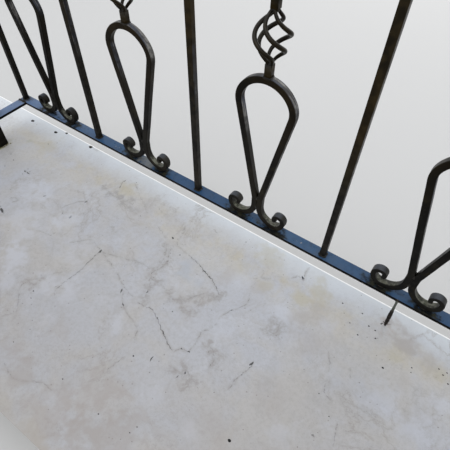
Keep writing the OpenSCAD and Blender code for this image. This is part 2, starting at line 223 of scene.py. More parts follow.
# Veins in the marble, as points of the photograph: dark cracks, fine lines and soft clouded bands
CRACKS_PX = [
    [(100.6, 251), (89.5, 261), (79, 271.5), (68, 279.5), (55.5, 289.5)],
    [(136, 301), (145, 306.5), (152, 309.3), (157, 319), (162, 330), (167.5, 344), (173, 351.5)],
    [(188, 254.5), (197, 262.5), (203.5, 270), (211.5, 279.5), (217, 289.5), (220, 295.5)],
    [(254, 363.5), (246.5, 370), (241, 375)],
    [(120, 187), (122, 182), (125, 180)],
    [(61.5, 213.5), (64, 211)],
    [(68, 217.5), (71.5, 215)],
    [(310.5, 433.5), (316, 437)],
    [(0, 205), (1.5, 209), (4.5, 214.5)],
]
LINES_PX = [
    [(55.5, 289.5), (54, 297)],
    [(0, 316.6), (7, 314.4), (17, 311), (18, 299.7), (19.2, 287), (27, 280.5)],
    [(27, 280.5), (41, 278), (52, 273.6), (65.5, 271.4), (72.5, 270)],
    [(100.6, 251), (111, 263.5), (117.5, 275), (123.5, 286), (129, 293), (136, 301)],
    [(173, 351.5), (181, 348.5), (189, 351.7), (200, 336), (200.2, 331), (210.5, 329)],
    [(210.5, 329), (217, 323), (220.5, 317), (230, 311), (238.5, 308.5), (247.5, 303.8)],
    [(247.5, 303.8), (250, 292.5), (252, 285.7), (261, 278), (264.5, 272)],
    [(252, 279), (262, 278), (273.5, 279)],
    [(275.7, 258.8), (281.5, 256.3)],
    [(290.3, 279), (299.3, 275.7), (303.8, 281.3), (305, 273.4), (310.6, 265.6)],
    [(100.6, 251), (108.6, 254.5), (122, 257.8), (135.7, 261), (144.8, 264.6), (150.5, 270)],
    [(68, 243), (83.7, 240.4), (93, 239.7), (97.3, 246.5), (100.6, 251)],
    [(34.5, 229.5), (43.5, 232.5), (50, 236), (56.6, 231.8)],
    [(150.5, 275.9), (153.8, 271.4), (163, 266.9), (168.6, 260), (169.7, 247.6), (176.5, 244)],
    [(157, 225), (163, 234), (166.3, 238.6)],
    [(185.5, 225), (183.3, 232), (176.5, 244), (188, 254.5)],
    [(123.5, 286), (122.5, 302), (124.4, 308.7), (129, 316.6), (138, 328), (133.5, 345)],
    [(126.7, 355), (117.6, 362), (108.6, 368.7), (104, 375.5), (101.5, 384)],
    [(4.5, 361), (7, 370), (11.3, 377.7), (20.4, 381), (31.7, 381), (45, 383.5), (52, 391)],
    [(328.6, 351), (329.3, 364.6), (328.6, 373)],
    [(350, 365.8), (351, 380.4)],
    [(325.3, 383), (324, 391.7), (333, 402.8)],
    [(241, 375), (234, 381), (227, 391)],
    [(337.6, 421), (335.3, 434.5), (333, 448)],
    [(61.5, 208.5), (67.5, 205.5), (78, 201.8), (87, 201), (93, 195)],
    [(9, 199), (15, 197.3), (19.5, 200.3), (10.5, 202.5)],
    [(135, 183), (139.5, 195), (144, 204), (148, 214.5)],
    [(212.7, 228.4), (218.3, 234)],
    [(24, 171.8), (30, 171)],
    [(65.3, 185.3), (72, 183.8)],
]
CLOUDS_PX = [
    [(167, 247), (163, 262), (152, 272), (151, 279), (160, 283), (168.6, 293)],
    [(168.6, 293), (172, 299), (181, 301), (192, 298), (203, 293), (212, 297), (220.6, 295)],
    [(181, 301), (182, 308), (190, 312), (199, 304), (202, 296)],
    [(150.5, 276), (150.5, 285), (145, 298)],
    [(105, 187.5), (111, 195), (120, 198), (129, 201), (137, 211)],
    [(116, 192), (122, 203), (131, 208)],
    [(28, 282), (34, 286), (42, 279)],
    [(172, 368), (180, 374), (186, 369), (190, 378), (184, 385)],
    [(208, 345), (213, 350), (216, 357), (212, 365)],
    [(268, 330), (275, 335), (280, 326), (274, 322)],
]

# Short open pits along the veins, bold ones and fine ones, from one end to the other
BOLD_PITS_PX = [
    [(98.5, 253.4), (101.8, 249.3)], [(171.2, 236.4), (174.4, 239.4)], [(42.8, 196.8), (47.2, 194.9)],
    [(68.6, 218.8), (71.8, 214.9)], [(0.2, 207.5), (3.6, 213.2)], [(249.2, 367), (253.8, 362)],
]
FINE_PITS_PX = [
    [(61.2, 214.4), (63.6, 212)], [(83.8, 202.8), (89, 201.4)], [(119.4, 188.6), (121.4, 185.6)],
    [(123.4, 182.4), (125.8, 180)], [(49.6, 235.6), (53, 234.6)], [(26.3, 171.2), (29.7, 174.8)],
    [(23.8, 170.2), (27, 172.6)], [(76.6, 272.9), (79.6, 271)], [(165.8, 263.3), (169, 260)],
    [(39.8, 277.2), (42, 273.6)], [(54.2, 287.8), (57.8, 285.8)], [(229.6, 311.5), (234.6, 309.2)],
    [(240.4, 375.4), (243.6, 372.8)], [(155.8, 316.2), (157.8, 320)], [(162, 329.6), (164.2, 335.4)],
    [(145.6, 294.8), (148.2, 289.2)], [(120.6, 293.8), (122.8, 287.8)], [(122.8, 302), (124.2, 307)],
    [(150.2, 274.3), (153.8, 271.2)], [(203.2, 269), (206.6, 273.6)], [(208.2, 275.6), (210.6, 279.4)],
    [(186.2, 351.9), (190.4, 353)], [(150.8, 361.4), (153.6, 355.6)], [(208.6, 367.8), (211.8, 364.2)],
    [(175.2, 378.6), (178.8, 375.4)], [(94.4, 256.8), (96.6, 254.6)], [(88.8, 261.3), (91, 259.2)],
    [(8.4, 271.6), (9.6, 274.4)], [(309.8, 433), (314.2, 435.8)],
]

# Kinds of vein: the lines, half the widths of the halo and of the middle, and the middle's strength
VEIN_KINDS = [
    (CLOUDS_PX, 7 * MM, 2.4 * MM, 0.6),
    (LINES_PX, 6 * MM, 1.4 * MM, 0.7),
    (CRACKS_PX, 6 * MM, 1.7 * MM, 1.0),
    (BOLD_PITS_PX, 5 * MM, 4.4 * MM, 3.6),
    (FINE_PITS_PX, 2.9 * MM, 2.4 * MM, 2.6),
]
HALO_SHADE = 0.35
HALO_LIFT = 0.04 * MM
CORE_LIFT = 0.1 * MM
LIFT_STEP = 0.001 * MM
VEIN_DEPTH = 0.5 * MM
VEIN_STEP = 3 * MM
VEIN_TAPER = 3
VEIN_TIP = 0.3
VEIN_BEND = (32, 1.6 * MM)
CORE_BEND = (210, 3.2 * MM)
VEIN_SMOOTHING = 3
VEIN_SEED = 4
CLOUD_R = 19 * MM

# Dark specks on the marble, as points of the photograph: (x, y, size)
SPECK_R = 2.2 * MM
SPECK_NARROW = 0.75
SPECK_H = 0.5 * MM
SPECKS_PX = [
    (32.7, 120.8, 3.1), (55.7, 132.3, 3.1), (66.7, 133.2, 2.2), (90.7, 147, 3.1), (136.7, 182.7, 0.6),
    (140.6, 216, 0.7), (159.5, 209, 0.5), (180, 255, 0.7), (13.5, 342, 0.6), (172.5, 311.5, 0.7),
    (181.5, 348.5, 0.8), (133.4, 356, 0.9), (189, 351.5, 0.8), (62.7, 379, 0.7), (98.4, 414, 0.7),
    (137, 427, 0.6), (129.7, 432.7, 0.6), (246, 242, 0.6), (342.7, 303.2, 0.9), (362.4, 313.5, 0.9),
    (349.8, 322.9, 0.7), (368.9, 326.1, 0.9), (375.2, 330.4, 0.9), (357.7, 334.8, 0.9),
    (375.4, 338.3, 0.9), (382.8, 367.8, 1.2), (411.8, 367.8, 0.8), (411, 372.5, 0.6), (229.3, 440.6, 1.6),
    (439, 369, 0.8), (443, 375, 0.9), (447, 373, 0.8), (448, 384, 0.9), (319, 393.5, 0.6),
    (329, 416.5, 0.6), (33.5, 291, 0.9), (31, 298, 0.6), (48.2, 144, 0.8), (57, 143, 0.6), (11, 154, 0.8),
    (13.5, 160, 0.9), (25, 171, 0.9), (28, 169, 0.7), (22.5, 174, 0.7), (30, 171.5, 0.6), (37, 157, 0.5),
    (5, 166, 0.7),
]

# Pale flecks on the front rail: (x, y, count), their spread, sizes in mm, narrowness and flatness
FLECK_SPOTS = [(SIDE_X - 6 * MM, FRONT_Y + 9 * MM, 7)]
FLECK_SPOTS += [(x * MM, FRONT_Y + 4 * MM, 3) for x in (62, -300, 640, -700)]
FLECK_SPREAD = (9 * MM, 4 * MM)
FLECK_SIZES = (0.5, 1.5)
FLECK_SHAPE = (0.7, 0.35)

# Crumbs of earth round a leg and of rust round the anchor rod: spread, sizes in mm and narrowness
EARTH_COUNT = 46
EARTH = (3.5 * MM, (0.8, 2.6), 0.8)
RUST_COUNT = 16
RUST_START = 3 * MM
RUST = (3 * MM, (0.5, 1.6), 1)
CRUMB_FLAT = 0.5

# Dark patches on the rail at the lyres' feet, measured from a foot
PATCH_OUT = 4 * MM
PATCH_BACK = 10 * MM

# Rounding of the solids that are kept
JOIN_GAP = 0.01 * MM
ROUND_STEPS = 2
ROUND_ANGLE = math.radians(30)

# Display colours of the rails: slate blue as a painted sky reflection on faces that look up, dark olive at
# the feet
SLATE = (36, 68, 102)
PALE_SLATE = (48, 79, 112)
SIDE_SLATE = (70, 84, 112)
# Paler painted sky reflection towards the ends of the rails
PALE_SKY_REFLECTION = (102, 124, 159)
FOOT_DARK = (20, 20, 17)
FOOT_OLIVE = (48, 47, 32)
# A pale grey patch on the front rail at one lyre
PALE_RAIL_PATCH = (112, 116, 119)
PALE_PATCH_LYRE = "lyre_front_5"

# Heights over the bottom rail between which the iron's tones come and go
WARM_IRON = (1.2, 0.94, 0.45, 1)
WARM_RISE = (180 * MM, 400 * MM)
CROWN_RISE = (230 * MM, 300 * MM)
CROWN_FALL = (386 * MM, 392 * MM)
SHEEN_RISE = (42 * MM, 50 * MM)
SHEEN_FALL = (62 * MM, 80 * MM)
EARTH_FALL = (26 * MM, 42 * MM)

# Display colours of the marble's veins and stains
VEIN_HALO = (148, 145, 142)
VEIN_CORE = (40, 39, 40)
PIT = (24, 25, 28)
BROWN = (158, 153, 150)
MURKY = (160, 155, 153)
OCHRE = (168, 161, 138)
OLIVE = (140, 142, 118)
LILAC = (184, 187, 195)
MAUVE = (165, 169, 176)
# Multipliers of the marble: painted light towards the front, painted shade towards the room
PAINTED_FRONT_LIGHT = (1.22, 1.23, 1.25, 1)
PAINTED_ROOM_SHADE = (0.95, 0.93, 0.915, 1)

# Stains on the marble: a point of the photograph, the radius in mm, the strength and the colour
STAINS_PX = [
    (190, 305, 42, 0.3, BROWN), (206, 297, 36, 0.3, BROWN), (106, 255, 24, 0.3, BROWN),
    (140, 215, 60, 0.3, BROWN), (152, 275, 26, 0.3, BROWN), (15, 350, 46, 0.4, MURKY),
    (100, 395, 70, 0.5, MURKY), (45, 420, 80, 0.5, MURKY), (215, 425, 60, 0.3, MURKY),
    (310, 340, 50, 0.35, MURKY), (270, 400, 50, 0.3, MURKY), (396, 355, 24, 0.45, OCHRE),
    (320, 295, 34, 0.45, OCHRE), (322, 280, 22, 0.3, OCHRE), (440, 372, 30, 0.4, OCHRE),
    (270, 255, 50, 0.35, OCHRE), (125, 190, 44, 0.4, OCHRE), (50, 146, 50, 0.3, OCHRE),
    (245, 266, 34, 0.25, OCHRE), (29, 141, 13, 0.3, OLIVE), (30, 190, 60, 0.5, LILAC),
    (20, 220, 60, 0.5, LILAC), (65, 220, 50, 0.5, LILAC), (30, 300, 36, 0.5, LILAC),
    (65, 295, 36, 0.45, LILAC), (115, 325, 30, 0.45, LILAC), (187, 270, 34, 0.75, MAUVE),
    (240, 285, 40, 0.4, LILAC), (222, 330, 40, 0.4, LILAC), (282, 310, 34, 0.5, LILAC),
    (150, 395, 34, 0.35, LILAC), (325, 322, 30, 0.4, LILAC), (384, 400, 50, 0.4, LILAC),
    (414, 424, 50, 0.4, LILAC), (282, 435, 36, 0.4, LILAC), (190, 435, 30, 0.4, LILAC),
    (438, 404, 30, 0.4, LILAC), (12, 256, 56, 0.8, LILAC), (44, 284, 40, 0.6, LILAC),
    (45, 190, 44, 0.45, LILAC), (108, 434, 90, 0.55, BROWN), (20, 372, 50, 0.5, BROWN),
    (402, 343, 40, 0.6, BROWN), (430, 362, 36, 0.45, BROWN), (300, 300, 30, 0.5, OCHRE),
    (266, 284, 26, 0.4, OCHRE), (405, 380, 28, 0.35, MURKY), (60, 332, 34, 0.3, MURKY),
    (196, 284, 22, 0.4, MAUVE), (75, 254, 50, 0.4, LILAC), (10, 281, 44, 0.6, LILAC),
    (72, 284, 32, 0.5, LILAC), (45, 228, 50, 0.3, LILAC), (318, 316, 40, 0.4, BROWN),
    (258, 290, 34, 0.4, BROWN), (225, 276, 34, 0.35, BROWN), (16, 238, 40, 0.4, LILAC),
    (85, 434, 60, 0.3, BROWN), (404, 344, 34, 0.4, BROWN), (300, 318, 30, 0.4, BROWN),
]

# Range of the noise's values that edges and roughness use
NOISE_RANGE = (0.3, 0.7)

# Stains at a leg and at the anchor rod: the radius, the soft share of it, the strength and the colour
LEG_STAINS = [(34 * MM, 0.6, 0.5, (150, 147, 118)), (22 * MM, 0.4, 0.6, (92, 86, 66))]
ROD_STAINS = [(34 * MM, 0.9, 0.5, (156, 140, 128)), (9 * MM, 0.6, 0.8, (66, 54, 46))]

# Studio: floor, sky, and soft panels as (name, place, aim, size, power, colour)
STAGE_HALF = 14
FLOOR_TONE = (206, 206, 206)
SKY_COLOUR = (0.97, 0.985, 1.0, 1)
SKY_POWER = 0.74
WHITE_POWER = 0.92
PANELS = [
    ("top_panel", (0.3, 0.4, 4.6), (0.2, -0.4, 0.1), (6.0, 5.0), 95, (0.98, 0.99, 1.0)),
    ("street_fill", (0.6, -5.0, 2.2), (0.2, -0.5, 0.4), (4.0, 1.6), 70, (1.0, 0.99, 0.97)),
]


# Materials

def srgb(colour):
    """Linear colour of an 8-bit display colour."""
    values = [c / 255 for c in colour]
    return [c / 12.92 if c <= 0.04045 else ((c + 0.055) / 1.055) ** 2.4 for c in values] + [1]


class Shader:
    """A material with a Principled shader, and short calls for the nodes that feed it."""

    tone = None

    def __init__(self, name, roughness=0.5, specular=0.5, metallic=0.0):
        self.material = bpy.data.materials.new(name)
        self.material.use_nodes = True
        self.tree = self.material.node_tree
        self.surface = self.tree.nodes["Principled BSDF"]
        self.put(self.surface, {"Roughness": roughness, "Specular IOR Level": specular,
                                "Metallic": metallic})
        self.place = self.node("TexCoord").outputs["Object"]

    def put(self, node, values):
        """Links or sets a node's inputs, by name or by number."""
        for key, value in values.items():
            if isinstance(value, bpy.types.NodeSocket):
                self.tree.links.new(value, node.inputs[key])
            else:
                node.inputs[key].default_value = value

    def node(self, kind, values=(), **settings):
        node = self.tree.nodes.new("ShaderNode" + kind)
        for key, value in settings.items():
            setattr(node, key, value)
        self.put(node, dict(values))
        return node

    def math(self, operation, *values):
        return self.node("Math", enumerate(values), operation=operation).outputs[0]

    def times(self, first, *others):
        for other in others:
            first = self.math("MULTIPLY", first, other)
        return first

    def span(self, value, low, high, out_low=0.0, out_high=1.0, smooth=True):
        """Maps a value from one range to another, and clamps it."""
        values = enumerate((value, low, high, out_low, out_high))
        kind = "SMOOTHSTEP" if smooth else "LINEAR"
        return self.node("MapRange", values, interpolation_type=kind).outputs[0]

    def mix(self, share, first, second, blend="MIX"):
        """Mixes two colours: sockets, display colours of three numbers or factors of four."""
        first, second = [srgb(c) if type(c) is tuple and len(c) == 3 else c for c in (first, second)]
        values = {0: share, 6: first, 7: second}
        return self.node("Mix", values, data_type="RGBA", blend_type=blend).outputs[2]

    def coat(self, share, colour, blend="MIX"):
        """Lays a colour over the tone, which is the colour of all the coats so far."""
        self.tone = self.mix(share, self.tone, colour, blend)

    def shifted(self, offset, stretch=(1, 1, 1)):
        values = {"Vector": self.place, "Location": offset, "Scale": stretch}
        return self.node("Mapping", values).outputs[0]

    def noise(self, scale, detail=3.0, rough=0.5, warp=0.0, where=None):
        values = {"Vector": where or self.place, "Scale": scale, "Detail": detail,
                  "Roughness": rough, "Distortion": warp}
        return self.node("TexNoise", values).outputs["Fac"]

    def vector(self, operation, first, second):
        node = self.node("VectorMath", {0: first, 1: second}, operation=operation)
        return node.outputs["Value" if operation == "DISTANCE" else 0]

    def cells(self, scale):
        return self.node("TexVoronoi", {"Vector": self.place, "Scale": scale}).outputs

    def axis(self, letter, source=None):
        values = {0: source or self.place}
        return self.node("SeparateXYZ", values).outputs["XYZ".index(letter)]

    def facing(self, letter):
        """How far the surface faces along an axis, from -1 to 1."""
        return self.axis(letter, self.node("NewGeometry").outputs["Normal"])

    def edge_wear(self, low, high):
        return self.span(self.node("NewGeometry").outputs["Pointiness"], low, high)

    def rag(self, reach, *noise_values):
        """Noise about zero: added to a distance, it makes the edge of a mask ragged."""
        return self.span(self.noise(*noise_values), *NOISE_RANGE, -reach, reach)

    def spot(self, centre, radius, soft):
        """A round mask about a point of the floor."""
        distance = self.vector("DISTANCE", self.place, (centre[0], centre[1], MARBLE_Z))
        distance = self.math("ADD", distance, self.rag(0.4 * radius, 38, 4))
        return self.span(distance, radius * (1 - soft), radius, 1, 0)

    def near(self, centres, radius, stretch=(1, 1, 1)):
        """A mask about several places, stretched along the axes."""
        spread = self.vector("MULTIPLY", self.place, stretch)
        rag = self.rag(0.45 * radius, 55, 5, 0.6)
        mask = 0.0
        for centre in centres:
            goal = tuple(c * k for c, k in zip(centre, stretch))
            distance = self.math("ADD", self.vector("DISTANCE", spread, goal), rag)
            mask = self.math("MAXIMUM", self.span(distance, 0.25 * radius, radius, 1, 0), mask)
        return mask

    def bump(self, height, strength, distance):
        values = {"Height": height, "Strength": strength, "Distance": distance}
        self.put(self.surface, {"Normal": self.node("Bump", values).outputs[0]})

    def finish(self, *rough):
        """The material, with uneven roughness from (noise scale, detail, lowest, highest)."""
        self.put(self.surface, {"Base Color": self.tone})
        if rough:
            scale, detail, lowest, highest = rough
            uneven = self.span(self.noise(scale, detail), *NOISE_RANGE, lowest, highest)
            self.put(self.surface, {"Roughness": uneven})
        return self.material


def iron_paint():
    """Old black paint: brownish patches, worn arrises partly painted as highlights, a painted sheen of sky
    above, dust on the feet.
    """
    s = Shader("iron_paint")
    up = s.facing("Z")
    # Darker towards +X as a painted dark reflection: it lowers the gloss here and the tone further down
    dark_reflection_side = s.span(s.axis("X"), 0.5, 0.9, 1.0, 0.6)
    s.put(s.surface, {"Specular IOR Level": s.times(s.span(up, -0.1, 0.7, 0.08, 0.3), dark_reflection_side)})
    s.tone = s.mix(s.span(s.noise(14, 4), 0.38, 0.66), (10, 10, 10), (22, 21, 18))
    brown = s.times(s.span(s.noise(3.1, 2), 0.44, 0.62), s.span(s.noise(21, 4), 0.36, 0.6, 0.2, 0.8))
    s.coat(brown, (34, 29, 20))
    streak = s.noise(30, 3, where=s.shifted((0, 0, 0), (1, 1, 0.12)))
    s.coat(s.span(streak, 0.5, 0.75, 0, 0.45), (37, 34, 28))
    s.coat(s.span(s.noise(95, 5, 0.6), 0.56, 0.72, 0, 0.4), (46, 45, 41))
    # Pale arrises: partly worn paint, partly a painted edge highlight
    worn = s.times(s.edge_wear(0.53, 0.62), s.span(s.noise(55, 3), 0.4, 0.6, 0.1, 0.6))
    s.coat(worn, (70, 66, 58))
    s.coat(s.span(s.noise(43, 5, 0.6), 0.55, 0.7, 0, 0.6), (42, 38, 25))

    # Warmer towards the top; painted sky reflection and glint streaks on the loops' right shoulders
    height = s.math("SUBTRACT", s.axis("Z"), BARS_Z)
    s.coat(s.span(height, *WARM_RISE), s.mix(1.0, s.tone, WARM_IRON, "MULTIPLY"))
    rightward = s.math("ADD", up, s.times(s.facing("X"), -0.6))
    crown = s.times(s.span(height, *CROWN_RISE), s.span(height, *CROWN_FALL, 1, 0),
                    s.span(rightward, 0.35, 0.9), s.span(s.noise(58, 6, 0.65), 0.42, 0.6, 0.3, 0.95))
    s.coat(crown, (64, 68, 79))
    # Painted glint streaks on the lit shoulders
    painted_glint_streaks = s.noise(60, 3, where=s.shifted((0, 0, 0), (0.2, 3.2, 0.2)))
    s.coat(s.times(crown, s.span(painted_glint_streaks, 0.5, 0.58, 0, 0.8)), (146, 143, 136))
    # Painted dark reflection: the tone darkens towards +X
    s.coat(1.0, dark_reflection_side, "MULTIPLY")

    # Painted sheen of light from the left on the scrolls, and earth in the bends of the feet
    leftward = s.math("ADD", up, s.times(s.facing("X"), 0.55))
    sheen = s.times(s.span(leftward, 0.4, 1.1), s.span(height, *SHEEN_RISE),
                    s.span(height, *SHEEN_FALL, 1, 0), s.span(s.noise(62, 5, 0.6), 0.34, 0.6, 0.3, 1.0))
    s.coat(sheen, (55, 59, 66))
    dust = s.times(s.span(up, 0.3, 0.8), s.span(s.noise(75, 6, 0.65), 0.38, 0.54, 0.2, 1.0),
                   s.span(height, *EARTH_FALL, 0.85, 0))
    earth = s.mix(s.span(s.noise(110, 5, 0.65), 0.4, 0.6), (70, 72, 58), (118, 118, 106))
    s.coat(dust, earth)
    s.bump(s.math("ADD", s.noise(110, 4, 0.55), s.times(s.noise(26, 2), 1.6)), 0.35, 1.2 * MM)
    return s.finish(40, 4, 0.30, 0.5)


def rail_paint(name, slate, pale_slate, dark_foot_spots=(), pale_patch_spots=()):
    """The same paint on the flat bars, with slate blue painted on the faces that look up as a painted sky
    reflection.
    """
    s = Shader(name)
    up = s.span(s.facing("Z"), 0.75, 0.98)
    gloss = s.span(up, 0, 1, 0.06, 0.34)
    # Painted sky reflection: slate blue tones, used on the faces that look up
    s.tone = s.mix(s.span(s.noise(5, 3), 0.35, 0.65), slate, pale_slate)
    s.coat(s.span(s.noise(80, 5, 0.65), 0.45, 0.75, 0, 0.3), (26, 38, 52))
    s.coat(s.span(s.noise(24, 5, 0.65), 0.52, 0.7, 0, 0.28), (62, 70, 80))
    # Painted reflection: paler sky towards the ends of the rails
    s.coat(s.span(s.math("ABSOLUTE", s.axis("X")), 0.6, 1.02, 0, 0.72), PALE_SKY_REFLECTION)
    corners = [(-SIDE_X, FRONT_Y, BARS_Z), (SIDE_X, FRONT_Y, BARS_Z)]
    s.coat(s.times(s.near(corners, 30 * MM), 0.75), (52, 54, 58))
    # Darker, olive-flecked and less glossy at the lyres' feet, towards the room
    if dark_foot_spots:
        foot_dark_mask = s.near(dark_foot_spots, 48 * MM, (1, 1.5, 1))
        foot_tone = s.mix(s.span(s.noise(85, 5, 0.65), 0.46, 0.62), FOOT_DARK, FOOT_OLIVE)
        s.coat(s.times(foot_dark_mask, 0.96), foot_tone)
        gloss = s.times(gloss, s.span(foot_dark_mask, 0, 1, 1.0, 0.3))
    # A pale grey mottled patch on the rail at one lyre
    if pale_patch_spots:
        s.coat(s.times(s.near(pale_patch_spots, 44 * MM, (1.1, 0.7, 1)), 0.9), PALE_RAIL_PATCH)
    s.put(s.surface, {"Specular IOR Level": gloss})
    # Faces that don't look up keep the dark paint, without the painted sky reflection
    dark = s.mix(s.span(s.noise(12, 4), 0.38, 0.66), (9, 9, 10), (19, 17, 15))
    s.tone = s.mix(up, dark, s.tone)
    s.coat(s.span(s.noise(18, 4, 0.6), 0.6, 0.72, 0, 0.4), (20, 21, 22))
    worn = s.times(s.edge_wear(0.53, 0.6), s.span(s.noise(60, 3), 0.42, 0.6, 0.0, 0.25))
    s.coat(worn, (58, 52, 46))
    s.bump(s.noise(90, 4), 0.22, 1 * MM)
    return s.finish(50, 4, 0.26, 0.44)


def weld_paint():
    """Lumpy weld metal under thin paint, with rust coming through."""
    s = Shader("weld_paint", specular=0.25)
    s.tone = s.mix(s.span(s.noise(60, 4), 0.35, 0.65), (18, 18, 17), (38, 34, 28))
    s.coat(s.span(s.noise(150, 4), 0.6, 0.74, 0, 0.5), (74, 54, 40))
    s.bump(s.noise(260, 5, 0.6), 0.6, 1 * MM)
    return s.finish(90, 3, 0.34, 0.6)


def rust():
    """Scaly rust with dark remains of paint, and bare metal at the head of the anchor rod."""
    s = Shader("rust_scale", specular=0.3)
    s.tone = s.mix(s.span(s.noise(160, 5, 0.6), 0.35, 0.65), (17, 14, 12), (38, 29, 23))
    s.coat(s.span(s.noise(60, 3), 0.46, 0.6), (15, 14, 13))
    bare = s.span(s.axis("Z"), MARBLE_Z + 48 * MM, MARBLE_Z + 72 * MM, 0.0, 0.85)
    s.coat(bare, (96, 100, 92))
    s.bump(s.noise(420, 5, 0.65), 0.8, 1 * MM)
    return s.finish(120, 3, 0.6, 0.9)


def zinc():
    """Weathered zinc of the bolts, under traces of black paint."""
    s = Shader("bolt_metal", specular=0.5, metallic=0.6)
    s.tone = s.mix(s.span(s.noise(180, 4), 0.4, 0.62), (96, 94, 90), (58, 54, 50))
    s.coat(s.span(s.noise(90, 4), 0.52, 0.62), (30, 27, 25))
    s.coat(s.span(s.noise(260, 4), 0.6, 0.7, 0, 0.8), (110, 68, 42))
    s.bump(s.noise(300, 4), 0.4, 0.5 * MM)
    return s.finish(160, 3, 0.38, 0.62)


def marble():
    """Honed marble: lilac and grey clouds, a beige band behind the front edge, veins and stains."""
    s = Shader("marble", specular=0.4)
    s.tone = s.mix(s.span(s.noise(6.5, 5, 0.55, 0.4), 0.4, 0.6), (175, 174, 174), (173, 175, 181))
    warm = s.noise(8.5, 5, 0.6, 0.6, s.shifted((3.1, 1.7, 0)))
    s.coat(s.span(warm, 0.47, 0.66, 0, 0.45), (174, 171, 168))
    murky = s.noise(15, 7, 0.66, 0.8, s.shifted((1.3, 0.2, 0)))
    s.coat(s.span(murky, 0.5, 0.7, 0, 0.5), (163, 161, 161))
    clean = s.noise(11, 6, 0.62, 0.7, s.shifted((0.6, 2.2, 0)))
    s.coat(s.span(clean, 0.54, 0.7, 0, 0.6), (181, 183, 189))

    # Beige band along the front; a strip before it painted pale as a painted sky reflection, and paler
    # beyond the side rails
    depth = s.math("SUBTRACT", s.axis("Y"), marble_low.y)
    band = s.times(s.span(depth, 36 * MM, 80 * MM), s.span(depth, 90 * MM, 190 * MM, 1, 0),
                   s.span(s.noise(13, 5, 0.6), 0.36, 0.6))
    s.coat(s.times(band, 0.7), (178, 173, 163))
    s.coat(s.times(band, s.span(s.noise(24, 5, 0.65), 0.5, 0.66, 0, 0.4)), (170, 162, 140))
    # Painted sky reflection: the front strip is pale and bluish
    strip = s.span(s.math("ADD", depth, s.rag(8 * MM, 20, 4)), 6 * MM, 82 * MM, 0.9, 0, False)
    s.coat(strip, (197, 202, 207))
    # Paler beyond the side rails
    outer = s.math("ABSOLUTE", s.axis("X"))
    s.coat(s.span(outer, SIDE_X + 10 * MM, SIDE_X + 60 * MM, 0, 0.6), (206, 209, 212))

    # Own veins of the stone: thin ridges of fractal noise, in patches
    ridge = s.math("ABSOLUTE", s.math("SUBTRACT", s.noise(7, 9, 0.62, 0.4), 0.5))
    patches = s.span(s.noise(5, 4, where=s.shifted((0.4, 5.2, 0))), 0.46, 0.62)
    s.coat(s.times(s.span(ridge, 0, 0.035, 0.3, 0), patches), (150, 144, 138))
    s.coat(s.times(s.span(ridge, 0, 0.004, 0.45, 0), patches), (120, 115, 110))

    # Veins of the photograph: strips on the floor carry their strength, and the floor itself has none
    vein = s.node("Attribute", attribute_name="vein").outputs["Fac"]
    soft = s.times(s.span(vein, 0, HALO_SHADE, 0, 0.5, False), s.span(s.noise(48, 6, 0.7), 0.42, 0.6))
    s.coat(soft, VEIN_HALO)
    broken = s.span(s.noise(120, 6, 0.75), 0.46, 0.56, 0.12, 1)
    gaps = s.span(s.noise(30, 3, where=s.shifted((2.7, 0.9, 0))), 0.38, 0.52, 0.3, 1)
    s.coat(s.times(s.span(vein, HALO_SHADE, 1, 0, 1, False), broken, gaps), VEIN_CORE)
    s.coat(s.times(s.span(vein, 0.74, 0.95), s.span(s.noise(170, 3, 0.6), 0.47, 0.53, 0, 0.85)), PIT)
    s.coat(s.span(vein, 1.2, 1.7, 0, 0.85), PIT)

    # Murky clouds along the broad bands of the photograph
    cloud = s.near([floor_point(*p) for line in CLOUDS_PX for p in line], CLOUD_R)
    s.coat(s.times(cloud, s.span(s.noise(62, 7, 0.72, 0.5), 0.4, 0.6, 0.1, 0.8)), (148, 145, 144))

    # Fine mottling, hair lines and dark grains
    grain = s.noise(120, 6, 0.7)
    # The grain and hair lines fade out under the painted sky reflection of the front strip
    worn = s.math("SUBTRACT", 1.0, strip)
    s.coat(s.times(s.span(grain, 0.4, 0.7, 0, 0.28), worn), (146, 143, 141))
    s.coat(s.times(s.span(s.noise(300, 4, 0.6), 0.56, 0.7, 0, 0.28), worn), (128, 123, 119))
    hair = s.math("ABSOLUTE", s.math("SUBTRACT", s.noise(28, 8, 0.68, 0.6), 0.5))
    hair = s.times(s.span(hair, 0, 0.012, 1, 0), s.span(s.noise(9, 4), 0.45, 0.62, 0, 0.3), worn)
    s.coat(hair, (132, 128, 125))
    dots = s.cells(150)
    rare = s.span(s.axis("X", dots["Color"]), 0.955, 0.965, 0, 0.6)
    s.coat(s.times(s.span(dots["Distance"], 0.14, 0.24, 1, 0), rare), (96, 89, 83))

    # Stains at the legs and the anchor rod, and those of the photograph
    for side in (-1, 1):
        for radius, soft, strength, colour in LEG_STAINS:
            s.coat(s.times(s.spot((side * SIDE_X, LEG_Y), radius, soft), strength), colour)
    for radius, soft, strength, colour in ROD_STAINS:
        s.coat(s.times(s.spot(ROD_FOOT, radius, soft), strength), colour)
    for x, y, size, strength, colour in STAINS_PX:
        s.coat(s.times(s.spot(floor_point(x, y), size * MM, 0.9), strength), colour)

    # Painted light towards the front, paler and bluer, and painted shade towards the room, darker and
    # warmer. A little darker about x = -0.2.
    room_side_share = s.span(depth, 60 * MM, 560 * MM)
    s.coat(1.0, s.mix(room_side_share, PAINTED_FRONT_LIGHT, PAINTED_ROOM_SHADE), "MULTIPLY")
    darker_middle = s.math("ABSOLUTE", s.math("ADD", s.axis("X"), 0.2))
    s.coat(1.0, s.span(darker_middle, 0.0, 0.35, 0.92, 1.0), "MULTIPLY")

    # The front arris is painted bright white as a painted highlight, the face below it is plain, and it is
    # darker and warmer against the wall
    s.coat(s.span(depth, 0.2 * MM, 0.6 * MM, 0.85, 0.0), (190, 190, 190))
